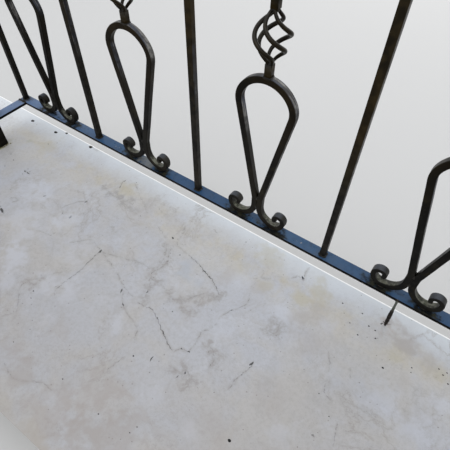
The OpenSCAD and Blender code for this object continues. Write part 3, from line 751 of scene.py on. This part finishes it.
    # Painted highlight: a bright white line along the front edge
    arris = s.times(s.span(depth, 4 * MM, 6 * MM, 1, 0),
                    s.span(s.axis("Z"), MARBLE_Z - 2.5 * MM, MARBLE_Z - 1.5 * MM))
    s.coat(arris, (252, 253, 254))
    # Darker and warmer within a ragged band against the wall
    wall = s.math("ADD", s.axis("Y"), s.rag(30 * MM, 16, 4))
    s.coat(s.span(wall, -50 * MM, 0.0, 0.0, 0.35), (164, 155, 140))
    s.bump(s.math("ADD", s.noise(45, 3), s.times(grain, 0.4)), 0.06, 1 * MM)
    return s.finish(20, 4, 0.30, 0.46)


def crumb_fill(name, colour, other):
    """Plain matt stuff of specks and flecks, in two tones."""
    s = Shader(name, roughness=0.7, specular=0.25)
    s.tone = s.mix(s.span(s.noise(90, 3), 0.35, 0.65), colour, other)
    s.bump(s.noise(300, 3), 0.2, 0.3 * MM)
    return s.finish()


def concrete():
    """Rendered concrete: cement grey, rain streaks, darker at the top under the lip and paler at the
    bottom edge, fine grit and pin holes.
    """
    s = Shader("concrete", specular=0.25)
    s.tone = s.mix(s.span(s.noise(3.5, 5, 0.6), 0.36, 0.64), (176, 171, 162), (150, 146, 139))
    streak = s.noise(17, 7, 0.68, 0.6, s.shifted((0, 0, 0), (1, 1, 0.3)))
    s.coat(s.span(streak, 0.48, 0.74, 0, 0.45), (124, 120, 113))
    # Darker at the top under the marble's lip, and paler at the bottom edge
    s.coat(s.span(s.axis("Z"), slab_high.z - 35 * MM, slab_high.z, 0.0, 0.45), (104, 99, 90))
    s.coat(s.span(s.axis("Z"), slab_low.z, slab_low.z + 30 * MM, 0.4, 0.0), (196, 191, 180))
    pit = s.span(s.cells(240)["Distance"], 0.1, 0.22, 1, 0)
    s.coat(s.times(pit, 0.35), (96, 92, 85))
    grit = s.math("SUBTRACT", s.noise(340, 6, 0.7), s.times(pit, 0.6))
    s.bump(s.math("ADD", grit, s.noise(25, 3)), 0.5, 1.5 * MM)
    return s.finish(60, 3, 0.8, 0.96)


def dirt():
    """Earth and moss that gathered at a foot."""
    s = Shader("dirt", roughness=0.95, specular=0.1)
    s.tone = s.mix(s.span(s.noise(140, 4), 0.35, 0.65), (98, 90, 60), (150, 146, 108))
    s.coat(s.span(s.noise(260, 3), 0.55, 0.7), (50, 46, 34))
    s.bump(s.noise(500, 4), 0.7, 1 * MM)
    return s.finish()


# Meshes

def angles(count, start=0.0):
    """Even steps of a full turn."""
    return [start + 2 * math.pi * k / count for k in range(count)]


def circle(centre, out, across, sides, start=0.0):
    """Points round a centre, from the two half axes of their circle or ellipse."""
    return [centre + out * math.cos(a) + across * math.sin(a) for a in angles(sides, start)]


def square_reach(half, a):
    """How far a square's edge is from its middle, at an angle."""
    return half / max(abs(math.cos(a)), abs(math.sin(a)))


def direction(line, i, closed=False):
    """Unit vector along a line of points, at one of them."""
    if closed:
        return (line[(i + 1) % len(line)] - line[i - 1]).normalized()
    return (line[min(i + 1, len(line) - 1)] - line[max(i - 1, 0)]).normalized()


class Build:
    """Collects closed shapes, and makes one piece of them."""

    def __init__(self):
        self.points = []
        self.faces = []

    def tube(self, rings, closed=False):
        """Joins rings of equally many points, with flat ends unless the tube is closed."""
        start = len(self.points)
        n = len(rings[0])
        for ring in rings:
            self.points.extend(ring)
        last = len(rings) if closed else len(rings) - 1
        for i in range(last):
            a = start + i * n
            b = start + (i + 1) % len(rings) * n
            for k in range(n):
                m = (k + 1) % n
                self.faces.append((a + k, b + k, b + m, a + m))
        if not closed:
            self.faces.append(tuple(start + k for k in range(n)))
            self.faces.append(tuple(start + last * n + k for k in reversed(range(n))))

    def lump(self, centre, radii, seed, rings=7, sides=10):
        """A rough ball with its axis upright."""
        loops = []
        for i in range(rings):
            polar = math.pi * (i + POLE_GAP) / (rings - 1 + 2 * POLE_GAP)
            loop = []
            for around in angles(sides):
                way = Vector((math.sin(polar) * math.cos(around), math.sin(polar) * math.sin(around),
                              math.cos(polar)))
                swell = 1 + LUMP_SWELL * noise.noise(way * LUMP_GRAIN + Vector((seed * 7.3, seed, 0)))
                loop.append(Vector(centre) + Vector([w * r * swell for w, r in zip(way, radii)]))
            loops.append(loop)
        self.tube(loops)

    def crumb(self, centre, size, narrow, flat, seed):
        """A small lump."""
        self.lump(centre, (size, size * narrow, size * flat), seed, 5, 8)

    def weld_ring(self, centre, half, seed, radius, count=32):
        """A bead round the foot of a square bar."""
        path = []
        for a in angles(count):
            reach = min(square_reach(half, a), half * CORNER_REACH)
            path.append(centre + Vector((reach * math.cos(a), reach * math.sin(a), 0)))
        rings = []
        for k, point in enumerate(path):
            side = direction(path, k, closed=True).cross(UP)
            uneven = noise.noise(point * BEAD_GRAIN + Vector((seed * 3.1, 0, 0)))
            size = radius * (BEAD_MEAN + BEAD_SWELL * uneven)
            rings.append(circle(point, side * size, UP * size, BEAD_SIDES))
        self.tube(rings, closed=True)

    def piece(self, name, material, stands_for=(), smooth=True, weighted=False):
        mesh = bpy.data.meshes.new(name)
        mesh.from_pydata(self.points, [], self.faces)
        work = bmesh.new()
        work.from_mesh(mesh)
        bmesh.ops.recalc_face_normals(work, faces=work.faces)
        work.to_mesh(mesh)
        work.free()
        mesh.polygons.foreach_set("use_smooth", [smooth] * len(mesh.polygons))
        thing = bpy.data.objects.new(name, mesh)
        bpy.context.scene.collection.objects.link(thing)
        mesh.materials.append(material)
        if weighted:
            thing.modifiers.new("flat_faces", "WEIGHTED_NORMAL").weight = FLAT_WEIGHT
        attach(thing, BODY)
        if stands_for:
            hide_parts(*stands_for)
        return thing


def rounded_section(thick, wide, radius):
    """Points round a rectangle with rounded corners: (across its thickness, across its width)."""
    u, v = thick / 2 - radius, wide / 2 - radius
    section = []
    for corner, (cu, cv) in enumerate([(u, v), (-u, v), (-u, -v), (u, -v)]):
        for k in range(ARRIS_STEPS + 1):
            a = math.pi / 2 * (corner + k / ARRIS_STEPS)
            section.append((cu + radius * math.cos(a), cv + radius * math.sin(a)))
    return section


# Lyres

LEG_X = (BAR - LEG_PRESS) / 2
APEX_Z = LOOP_H - BAR / 2
SHOULDER_X = (LOOP_W - BAR) / 2 - SHOULDER_R
crown_rise = APEX_Z - LOOP_WIDE_Z
CROWN_R = (SHOULDER_X ** 2 + crown_rise ** 2 - SHOULDER_R ** 2) / (2 * (crown_rise - SHOULDER_R))
CROWN_Z = APEX_Z - CROWN_R
CROWN_END = math.degrees(math.atan2(LOOP_WIDE_Z - CROWN_Z, SHOULDER_X))
BEND_X = LEG_X + BEND_R
leg_fall = LOOP_WIDE_Z - TOUCH_TOP
leg_reach = math.hypot(BEND_X - SHOULDER_X, leg_fall)
LEG_TILT = math.degrees(math.asin((SHOULDER_R + BEND_R) / leg_reach)
                        - math.atan2(BEND_X - SHOULDER_X, leg_fall))
FOOT_R = TOUCH_LOW - BAR / 2
FOOT_X = LEG_X + FOOT_R
FOOT_END = 270 + FOOT_TURN
CURL_X1 = FOOT_X + (FOOT_R - CURL_R1) * math.cos(math.radians(FOOT_END))
CURL_Z1 = TOUCH_LOW + (FOOT_R - CURL_R1) * math.sin(math.radians(FOOT_END))
CURL_X2 = CURL_X1 + CURL_R1 - CURL_R2
CURL_Z2 = CURL_Z1 + CURL_RISE
CURL_Z3 = CURL_Z2 + CURL_R2 - CURL_R3
BASKET_Z = FOOT_WELD + LOOP_H + STUB_H
BASKET_H = BAR_H - 2 * BASKET_Z


def arc(x, z, radius, start, end, thick_start=BAR, thick_end=BAR):
    """Points (x, z, thickness) along an arc, with angles in degrees."""
    count = max(2, math.ceil(abs(math.radians(end - start)) * radius / (SWEEP_STEP / 2)))
    points = []
    for i in range(count + 1):
        u = i / count
        a = math.radians(start + (end - start) * u)
        thick = thick_start + (thick_end - thick_start) * u
        points.append((x + radius * math.cos(a), z + radius * math.sin(a), thick))
    return points


def lyre_half():
    """Middle line of the right half of a lyre, from the crown to the tip of the scroll."""
    return (
        arc(0, CROWN_Z, CROWN_R, 90, CROWN_END)
        + arc(SHOULDER_X, LOOP_WIDE_Z, SHOULDER_R, CROWN_END, -LEG_TILT)
        + arc(BEND_X, TOUCH_TOP, BEND_R, 180 - LEG_TILT, 180)
        + arc(FOOT_X, TOUCH_LOW, FOOT_R, 180, 270)
        + arc(FOOT_X, TOUCH_LOW, FOOT_R, 270, FOOT_END)
        + arc(CURL_X1, CURL_Z1, CURL_R1, FOOT_END, 360, BAR, CURL_T1)
        + arc(CURL_X2, CURL_Z2, CURL_R2, 0, 90, CURL_T1, CURL_T2)
        + arc(CURL_X2, CURL_Z3, CURL_R3, 90, CURL_END, CURL_T2, CURL_T3)
    )


def evenly(points, step):
    """The same line with points at even steps of its length: (x, z, thickness, length so far)."""
    lengths = [0.0]
    for a, b in zip(points, points[1:]):
        lengths.append(lengths[-1] + math.hypot(b[0] - a[0], b[1] - a[1]))
    count = round(lengths[-1] / step)
    result = []
    j = 0
    for i in range(count + 1):
        wanted = lengths[-1] * i / count
        while j < len(points) - 2 and lengths[j + 1] < wanted:
            j += 1
        gap = lengths[j + 1] - lengths[j]
        u = (wanted - lengths[j]) / gap if gap > 1e-9 else 0
        result.append(tuple(p + (q - p) * u for p, q in zip(points[j], points[j + 1])) + (wanted,))
    return result


LYRE_HALF = evenly(lyre_half(), SWEEP_STEP)
HALF_LENGTH = LYRE_HALF[-1][3]
FOOT_LENGTH = next(p[3] for p in LYRE_HALF if p[1] < TOUCH_LOW)


def lean_shift(lean, height):
    """How far a leaning lyre is to the side at a height."""
    return math.tan(math.radians(lean)) * max(0.0, min(height, LOOP_H) - TOUCH_TOP)


def lyre_rings(place, lean, seed):
    """Rings of one lyre, swept from the tip of one scroll over the crown to the other tip."""
    line = [(-x, z, t, s) for x, z, t, s in reversed(LYRE_HALF[1:])] + LYRE_HALF
    ways = [Vector((x, z)) for x, z, t, s in line]
    rings = []
    for i, (x, z, thick, length) in enumerate(line):
        along = direction(ways, i)
        out = Vector((-along.y, along.x))
        wave = noise.noise(Vector((x * WAVE_GRAIN, z * WAVE_GRAIN, seed * 5.7)))
        pinch = noise.noise(Vector((x * PINCH_GRAIN, z * PINCH_GRAIN, seed * 3.3 + 9)))
        x, z = x + out.x * wave * WAVE, z + out.y * wave * WAVE
        flare = max(0.0, min(1.0, (length - FOOT_LENGTH - FLARE_FROM) / FLARE_L))
        wide = BAR + (CURL_W - BAR) * flare * flare * (3 - 2 * flare)
        thick, wide = thick * (1 + PINCH_THICK * pinch), wide * (1 - PINCH_WIDE * pinch)
        tip = max(0.0, 1 - (HALF_LENGTH - length) / TIP_L)
        shrink = math.sqrt(max(0.0, 1 - (TIP_SHARE * tip) ** 2))
        sway = lean_shift(lean, z)
        radius = min(ARRIS_R, thick * ARRIS_SHARE) * shrink
        ring = []
        for u, v in rounded_section(thick * shrink, wide * (0.5 + 0.5 * shrink), radius):
            ring.append(place @ Vector((x + out.x * u + sway, v, z + out.y * u + FOOT_WELD)))
        rings.append(ring)
    return rings


def stub_rings(place, shift):
    """Short square bar between the crown and the basket, a little sunk into the crown."""
    low, high = BASKET_Z - STUB_H - STUB_SINK, BASKET_Z
    section = rounded_section(BAR, BAR, ARRIS_R)
    return [[place @ Vector((u + shift, v, z)) for u, v in section] for z in (low, (low + high) / 2, high)]


def bay_frames(node, turned):
    """Matrices of a bay's lower lyre and of the mirrored upper one, which face Y and stand at zero."""
    turn = Matrix.Rotation(math.radians(turned), 4, "Z")
    lower = Matrix.Translation((*middle(node), BARS_Z)) @ turn
    return lower, lower @ Matrix.Translation((0, 0, BAR_H)) @ Matrix.Diagonal((1, 1, -1, 1))


def lyre_feet(start):
    """Where the feet of the lyres stand on the rail, a little towards the room."""
    feet = []
    for name in sorted(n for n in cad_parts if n.startswith(start)):
        for side in (-1, 1):
            x = middle(name)[0] + side * (FOOT_X + PATCH_OUT)
            feet.append((x, FRONT_Y + PATCH_BACK, BARS_Z))
    return feet


# Baskets

SEAT_R = (ROD_END_D + ROD_GAP) / (2 * math.sin(math.pi / ROD_COUNT))


def rod_line(start):
    """Middle line of a basket rod, from its foot to its head."""
    line = []
    for i in range(ROD_RINGS + 1):
        u = i / ROD_RINGS
        swell = max(0.0, math.sin(math.pi * u)) ** ROD_BULGE
        reach = SEAT_R + (BASKET_D / 2 - ROD_D / 2 - SEAT_R) * swell
        a = math.radians(start - 360 * ROD_TURNS * u)
        line.append(Vector((reach * math.cos(a), reach * math.sin(a), BASKET_Z + BASKET_H * u)))
    return line


def rod_radius(share):
    return (ROD_END_D + (ROD_D - ROD_END_D) * max(0.0, math.sin(math.pi * share))) / 2


def round_rings(line, radius_at, sides, seed=0, rough=0.0):
    """Rings round a line, carried along it without twist. The radius follows the share of the way."""
    rings = []
    out = Vector((1, 0, 0))
    for i, point in enumerate(line):
        along = direction(line, i)
        out = (out - along * out.dot(along)).normalized()
        uneven = 1 + rough * noise.noise(point * 180 + Vector((seed, 0, 0)))
        size = radius_at(i / (len(line) - 1)) * uneven
        rings.append(circle(point, out * size, along.cross(out) * size, sides))
    return rings


def bay_welds(welds, place, turned, shift, mark):
    """Welds of one lyre: under its feet, where its legs part and meet, and at both ends of its stub."""
    foot = FOOT_LUMP if abs(turned) != 90 else (FOOT_LUMP[1], FOOT_LUMP[0], FOOT_LUMP[2])
    for side in (-1, 1):
        welds.lump(place @ Vector((side * FOOT_X, 0, FOOT_WELD / 2)), foot, mark + side)
        face = side * WELD_FACE
        welds.lump(place @ Vector((0, face, PART_Z)), PART_WELD, mark + 3 + side)
        welds.lump(place @ Vector((0, face, MEET_Z)), MEET_WELD, mark + 5 + side)
    top = place @ Vector((shift, 0, STUB_BEAD_Z))
    welds.weld_ring(top, BAR / 2 + STUB_BEAD_OUT, mark + 7, STUB_BEAD)
    welds.lump(place @ Vector((shift, 0, BASKET_Z + STUB_WELD_IN)), STUB_WELD, mark + 8)


def make_bay(suffix, turned, seed, paint, welds):
    """The two lyres, the basket and the welds of one bay."""
    node = "lyre_" + suffix
    places = bay_frames(node, turned)
    lean = LEANS.get(node, 0)
    shift = lean_shift(lean, LOOP_H)
    lyres = Build()
    for k, place in enumerate(places):
        lyres.tube(lyre_rings(place, lean, seed * 2 + k))
        lyres.tube(stub_rings(place, shift))
        bay_welds(welds, place, turned, shift, seed * 20 + k * 10)
    lyres.piece("bent_" + node, paint, stands_for=[node], weighted=True)

    basket = Build()
    for k in range(ROD_COUNT):
        line = [p + Vector((shift, 0, 0)) for p in rod_line(ROD_START + 360 * k / ROD_COUNT)]
        rings = round_rings(line, rod_radius, ROD_SIDES)
        basket.tube([[places[0] @ p for p in ring] for ring in rings])
    basket.piece("twisted_basket_" + suffix, paint, stands_for=["basket_" + suffix])


# Welds at the uprights, the corners and the legs

def square_welds(welds):
    """Beads round both ends of each upright, and round the head of each leg."""
    bars = [n for n in sorted(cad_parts) if "_bar_" in n]
    for seed, name in enumerate(bars):
        low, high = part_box(name)
        for z in (low.z + BAR_BEAD_IN, high.z - BAR_BEAD_IN):
            end = Vector((*middle(name), z))
            welds.weld_ring(end, BAR / 2 + BAR_BEAD_OUT, seed * 2 + z, BAR_BEAD)
    for seed, name in enumerate(("leg_left", "leg_right")):
        head = Vector((*middle(name), leg_high.z - LEG_BEAD_IN))
        welds.weld_ring(head, LEG_HALF, seed + 60, LEG_BEAD, count=48)


def corner_welds(welds):
    """Smooth run of weld over each joint of a side rail and a front rail, with uneven beads on it."""
    picker = random.Random(7)
    for side in (-1, 1):
        for name in ("bottom_rail_front", "top_rail_front"):
            low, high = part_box(name)
            z = high.z if name.startswith("bottom") else low.z
            rings = []
            for k in range(RUN_STEPS + 1):
                x = side * SIDE_X + (k / RUN_STEPS - 0.5) * RUN_OVER * RAIL_W
                point = Vector((x, high.y, z))
                wide = RUN_WIDE + RUN_WIDE_WAVE * noise.noise(point * RUN_WIDE_GRAIN)
                wave = noise.noise(point * RUN_TALL_GRAIN + Vector((5, 0, 0)))
                tall = RUN_TALL + RUN_TALL_WAVE * wave
                rings.append(circle(point, Vector((0, wide, 0)), UP * tall, RUN_SIDES))
            welds.tube(rings)
            for k in range(RUN_BEADS):
                x = side * SIDE_X + (k / (RUN_BEADS - 1) - 0.5) * RAIL_W
                spot = Vector((x, high.y + picker.uniform(-RUN_BEAD_SWAY, RUN_BEAD_SWAY), z))
                size = picker.uniform(*RUN_BEAD_SIZES) * MM
                radii = (size, size * RUN_BEAD_LONG, size * RUN_BEAD_FLAT)
                welds.lump(spot, radii, k + 40 * side)


def anchor_rod(material, welds):
    """Thin rod eaten by rust, thicker where the scale has swollen it."""
    foot = Vector((*ROD_FOOT, anchor_low.z))
    head = Vector((anchor_high.x - ANCHOR_R, anchor_low.y + ANCHOR_R, anchor_high.z - 0.5 * MM))
    line = [foot.lerp(head, i / ANCHOR_STEPS) for i in range(ANCHOR_STEPS + 1)]

    def radius_at(share):
        swollen = SWOLLEN * math.exp(-((share - SWOLLEN_AT) / SWOLLEN_REACH) ** 2)
        eaten = EATEN * max(0.0, share - EATEN_FROM)
        return ANCHOR_R * (ANCHOR_MEAN + swollen - eaten)
    rod = Build()
    rod.tube(round_rings(line, radius_at, ANCHOR_SIDES, ANCHOR_SEED, ANCHOR_ROUGH))
    rod.piece("rusty_anchor_rod", material, ["anchor_rod"])
    welds.lump(head + ROD_WELD_IN, ROD_WELD, 71)


# Bolts

def disc_rings(centre, profile, sides, turn=0.0):
    """Rings about the Y axis, from a profile in mm."""
    rings = []
    for radius, out in profile:
        at = centre - Vector((0, out * MM, 0))
        rings.append(circle(at, Vector((radius * MM, 0, 0)), UP * radius * MM, sides, turn))
    return rings


def wall_bolts(material):
    """Washer, nut and stud end in each hole of the wall plates."""
    bolts = Build()
    picker = random.Random(11)
    for name in ("wall_plates_left", "wall_plates_right"):
        low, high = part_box(name)
        for plate_z in (low.z + PLATE_H / 2, high.z - PLATE_H / 2):
            for way in (-1, 1):
                at = Vector((middle(name)[0], low.y, plate_z + way * BOLT_PITCH / 2))
                bolts.tube(disc_rings(at, WASHER, BOLT_SIDES["washer"]))
                bolts.tube(disc_rings(at, NUT, BOLT_SIDES["nut"], picker.uniform(0, 1)))
                bolts.tube(disc_rings(at, STUD, BOLT_SIDES["stud"]))
    bolts.piece("wall_bolts", material, smooth=False)


# Veins, specks and dirt on the marble

def shaken(path, scale, amount, seed):
    """The same path, bent sideways by noise."""
    moved = []
    for point in path:
        push = noise.noise_vector(point * scale + Vector((0, 0, seed))) * amount
        moved.append(point + Vector((push.x, push.y, 0)))
    return moved


def vein_path(pixels, seed):
    """A line on the floor through points of the photograph, bent a little and smoothed."""
    corners = [floor_point(*pixel) for pixel in pixels]
    path = []
    for a, b in zip(corners, corners[1:]):
        count = max(2, round((b - a).length / VEIN_STEP))
        path.extend(a.lerp(b, i / count) for i in range(count))
    path.append(corners[-1])
    path = shaken(path, *VEIN_BEND, seed)
    for k in range(VEIN_SMOOTHING):
        before = path[:1] + path[:-1]
        after = path[1:] + path[-1:]
        path = [(a + p * 2 + b) / 4 for a, p, b in zip(before, path, after)]
    return path


def vein_strip(build, shades, path, half_width, profile, lift):
    """A flat strip along a path, with the strength of the vein across it as (offset, strength)."""
    last = len(path) - 1
    rings = []
    for i, point in enumerate(path):
        along = (path[min(i + 2, last)] - path[max(i - 2, 0)]).normalized()
        taper = min(1.0, (min(i, last - i) + VEIN_TIP) / VEIN_TAPER)
        side = Vector((-along.y, along.x, 0)) * half_width * taper
        ring = [point + side * offset + UP * lift for offset, strength in profile]
        rings.append(ring + [point - UP * VEIN_DEPTH])
        shades.extend([strength for offset, strength in profile] + [0.0])
    build.tube(rings)


def marble_veins(material):
    """Strips of the floor's own marble: wide soft halos, and narrow dark middles on top of them."""
    noise.seed_set(VEIN_SEED)
    veins = Build()
    shades = []
    seed = 0
    half_shade = 0.5 * HALO_SHADE
    halo = [(-1, 0), (-0.45, half_shade), (0, HALO_SHADE), (0.45, half_shade), (1, 0)]
    for lines, half_halo, half_core, strength in VEIN_KINDS:
        rim = HALO_SHADE * (1 - half_core / half_halo)
        core = [(-1, rim), (0, strength), (1, rim)]
        for pixels in lines:
            seed += 1
            path = vein_path(pixels, seed)
            lift = seed * LIFT_STEP
            vein_strip(veins, shades, path, half_halo, halo, HALO_LIFT + lift)
            bent = shaken(path, *CORE_BEND, seed)
            vein_strip(veins, shades, bent, half_core, core, CORE_LIFT + lift)
    thing = veins.piece("marble_veins", material, smooth=False)
    layer = thing.data.attributes.new("vein", "FLOAT", "POINT")
    layer.data.foreach_set("value", shades)


def floor_specks():
    specks = Build()
    for seed, (x, y, size) in enumerate(SPECKS_PX):
        wide = SPECK_R * size
        specks.lump(floor_point(x, y), (wide, wide * SPECK_NARROW, SPECK_H), seed, 5, 9)
    grit = crumb_fill("grit", (22, 22, 23), (48, 44, 42))
    specks.piece("floor_specks", grit)


def scatter(crumbs, picker, centre, reach_at, spread, sizes, narrow, seeds):
    """Crumbs on the floor round a foot, fewer farther out."""
    for seed in seeds:
        a = picker.uniform(0, 2 * math.pi)
        reach = reach_at(a) + picker.expovariate(1 / spread)
        size = picker.uniform(*sizes) * MM
        at = Vector((centre[0] + reach * math.cos(a), centre[1] + reach * math.sin(a), MARBLE_Z))
        crumbs.crumb(at, size, narrow, CRUMB_FLAT, seed)


def foot_dirt(leg_earth, rod_rust):
    """Crumbs of earth round the legs, and of rust round the anchor rod, as on the photograph's floor."""
    picker = random.Random(23)
    earth = Build()
    for side in (-1, 1):
        seeds = [k + 100 * side for k in range(EARTH_COUNT)]
        leg = (side * SIDE_X, LEG_Y)
        scatter(earth, picker, leg, lambda a: square_reach(LEG_HALF, a), *EARTH, seeds)
    earth.piece("foot_dirt", leg_earth)
    scales = Build()
    scatter(scales, picker, ROD_FOOT, lambda a: RUST_START, *RUST, range(300, 300 + RUST_COUNT))
    scales.piece("rust_crumbs", rod_rust)


def paint_flecks():
    """Specks of pale plaster and paint on the front rail, at a corner and in four other places."""
    flecks = Build()
    picker = random.Random(5)
    for x, y, count in FLECK_SPOTS:
        for k in range(count):
            size = picker.uniform(*FLECK_SIZES) * MM
            along, across = [picker.uniform(-spread, spread) for spread in FLECK_SPREAD]
            flecks.crumb(Vector((x + along, y + across, BARS_Z)), size, *FLECK_SHAPE, k + x * 40)
    pale = crumb_fill("pale_fleck", (196, 192, 184), (160, 156, 150))
    flecks.piece("paint_flecks", pale)


# Carried-over solids

def dress(name, material, bevel):
    """Gives a solid its material and a small round on its edges."""
    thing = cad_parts[name]
    for slot in thing.material_slots:
        slot.material = material
    thing.modifiers.new("join", "WELD").merge_threshold = JOIN_GAP
    round_off = thing.modifiers.new("round", "BEVEL")
    round_off.width = bevel
    round_off.segments = ROUND_STEPS
    round_off.limit_method = "ANGLE"
    round_off.angle_limit = ROUND_ANGLE
    thing.modifiers.new("flat_faces", "WEIGHTED_NORMAL").weight = FLAT_WEIGHT


# Light, floor and camera

def add_light(name, place, aim, size, power, colour):
    light = bpy.data.lights.new(name, "AREA")
    light.shape = "RECTANGLE"
    light.size, light.size_y = size
    light.energy = power
    light.color = colour
    holder = bpy.data.objects.new(name, light)
    holder.location = place
    holder.rotation_euler = (Vector(aim) - Vector(place)).to_track_quat("-Z", "Y").to_euler()
    bpy.context.scene.collection.objects.link(holder)


def stage():
    """Plain pale floor, and a soft sky that the camera sees as white."""
    mesh = bpy.data.meshes.new("floor")
    corners = [(-1, -1), (1, -1), (1, 1), (-1, 1)]
    points = [(x * STAGE_HALF, y * STAGE_HALF, slab_low.z) for x, y in corners]
    mesh.from_pydata(points, [], [(0, 1, 2, 3)])
    ground = bpy.data.objects.new("floor", mesh)
    bpy.context.scene.collection.objects.link(ground)
    s = Shader("plain_floor", roughness=0.9, specular=0.1)
    s.tone = srgb(FLOOR_TONE)
    mesh.materials.append(s.finish())

    world = bpy.data.worlds.new("studio")
    bpy.context.scene.world = world
    world.use_nodes = True
    nodes, links = world.node_tree.nodes, world.node_tree.links
    sky = nodes["Background"]
    white = nodes.new("ShaderNodeBackground")
    for node, colour, strength in ((sky, SKY_COLOUR, SKY_POWER), (white, (1, 1, 1, 1), WHITE_POWER)):
        node.inputs["Color"].default_value = colour
        node.inputs["Strength"].default_value = strength
    seen = nodes.new("ShaderNodeLightPath").outputs["Is Camera Ray"]
    choose = nodes.new("ShaderNodeMixShader")
    for socket, source in zip(choose.inputs, (seen, sky.outputs[0], white.outputs[0])):
        links.new(source, socket)
    links.new(choose.outputs[0], nodes["World Output"].inputs["Surface"])


def camera():
    data = bpy.data.cameras.new("camera")
    data.lens = CAM_LENS
    data.sensor_width = CAM_SENSOR
    data.sensor_fit = "HORIZONTAL"
    data.clip_start = 0.01
    holder = bpy.data.objects.new("camera", data)
    turn = Matrix((CAM_RIGHT, -CAM_DOWN, -CAM_AHEAD)).transposed()
    holder.matrix_world = Matrix.Translation(CAM_PLACE) @ turn.to_4x4()
    bpy.context.scene.collection.objects.link(holder)
    bpy.context.scene.camera = holder


def dress_ironwork(paint):
    """Paints the uprights, rails, legs and plates, which keep the meshes of their solids."""
    pale_patch = [(middle(PALE_PATCH_LYRE)[0], FRONT_Y, BARS_Z)]
    front_paint = rail_paint("front_rail_paint", SLATE, PALE_SLATE, lyre_feet("lyre_front"), pale_patch)
    side_paint = rail_paint("side_rail_paint", SIDE_SLATE, PALE_SKY_REFLECTION)
    top_paint = rail_paint("top_rail_paint", SLATE, PALE_SLATE)
    kinds = [
        ("bottom_rail_front", front_paint, 0.5 * MM), ("bottom_rail", side_paint, 0.5 * MM),
        ("top_rail", top_paint, 0.8 * MM), ("handrail", top_paint, 0.8 * MM),
        ("leg_", paint, 0.8 * MM), ("wall_plates", paint, 0.8 * MM),
    ]
    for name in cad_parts:
        if "_bar_" in name:
            dress(name, paint, 1.3 * MM)
            continue
        for start, material, bevel in kinds:
            if name.startswith(start):
                dress(name, material, bevel)
                break


def main():
    camera()
    paint = iron_paint()
    dress_ironwork(paint)
    scale = rust()
    floor_marble = marble()
    dress("marble_floor", floor_marble, 0.6 * MM)
    dress("concrete_slab", concrete(), 4 * MM)

    welds = Build()
    turns = {"front": 180, "left": -90, "right": 90}
    lyres = sorted(n[len("lyre_"):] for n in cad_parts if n.startswith("lyre_"))
    for seed, suffix in enumerate(lyres):
        make_bay(suffix, turns[suffix.split("_")[0]], seed + 1, paint, welds)
    square_welds(welds)
    corner_welds(welds)
    anchor_rod(scale, welds)
    welds.piece("weld_beads", weld_paint())
    wall_bolts(zinc())
    marble_veins(floor_marble)
    floor_specks()
    foot_dirt(dirt(), scale)
    paint_flecks()
    stage()
    for panel in PANELS:
        add_light(*panel)
    bpy.context.scene.view_settings.view_transform = "Standard"


main()
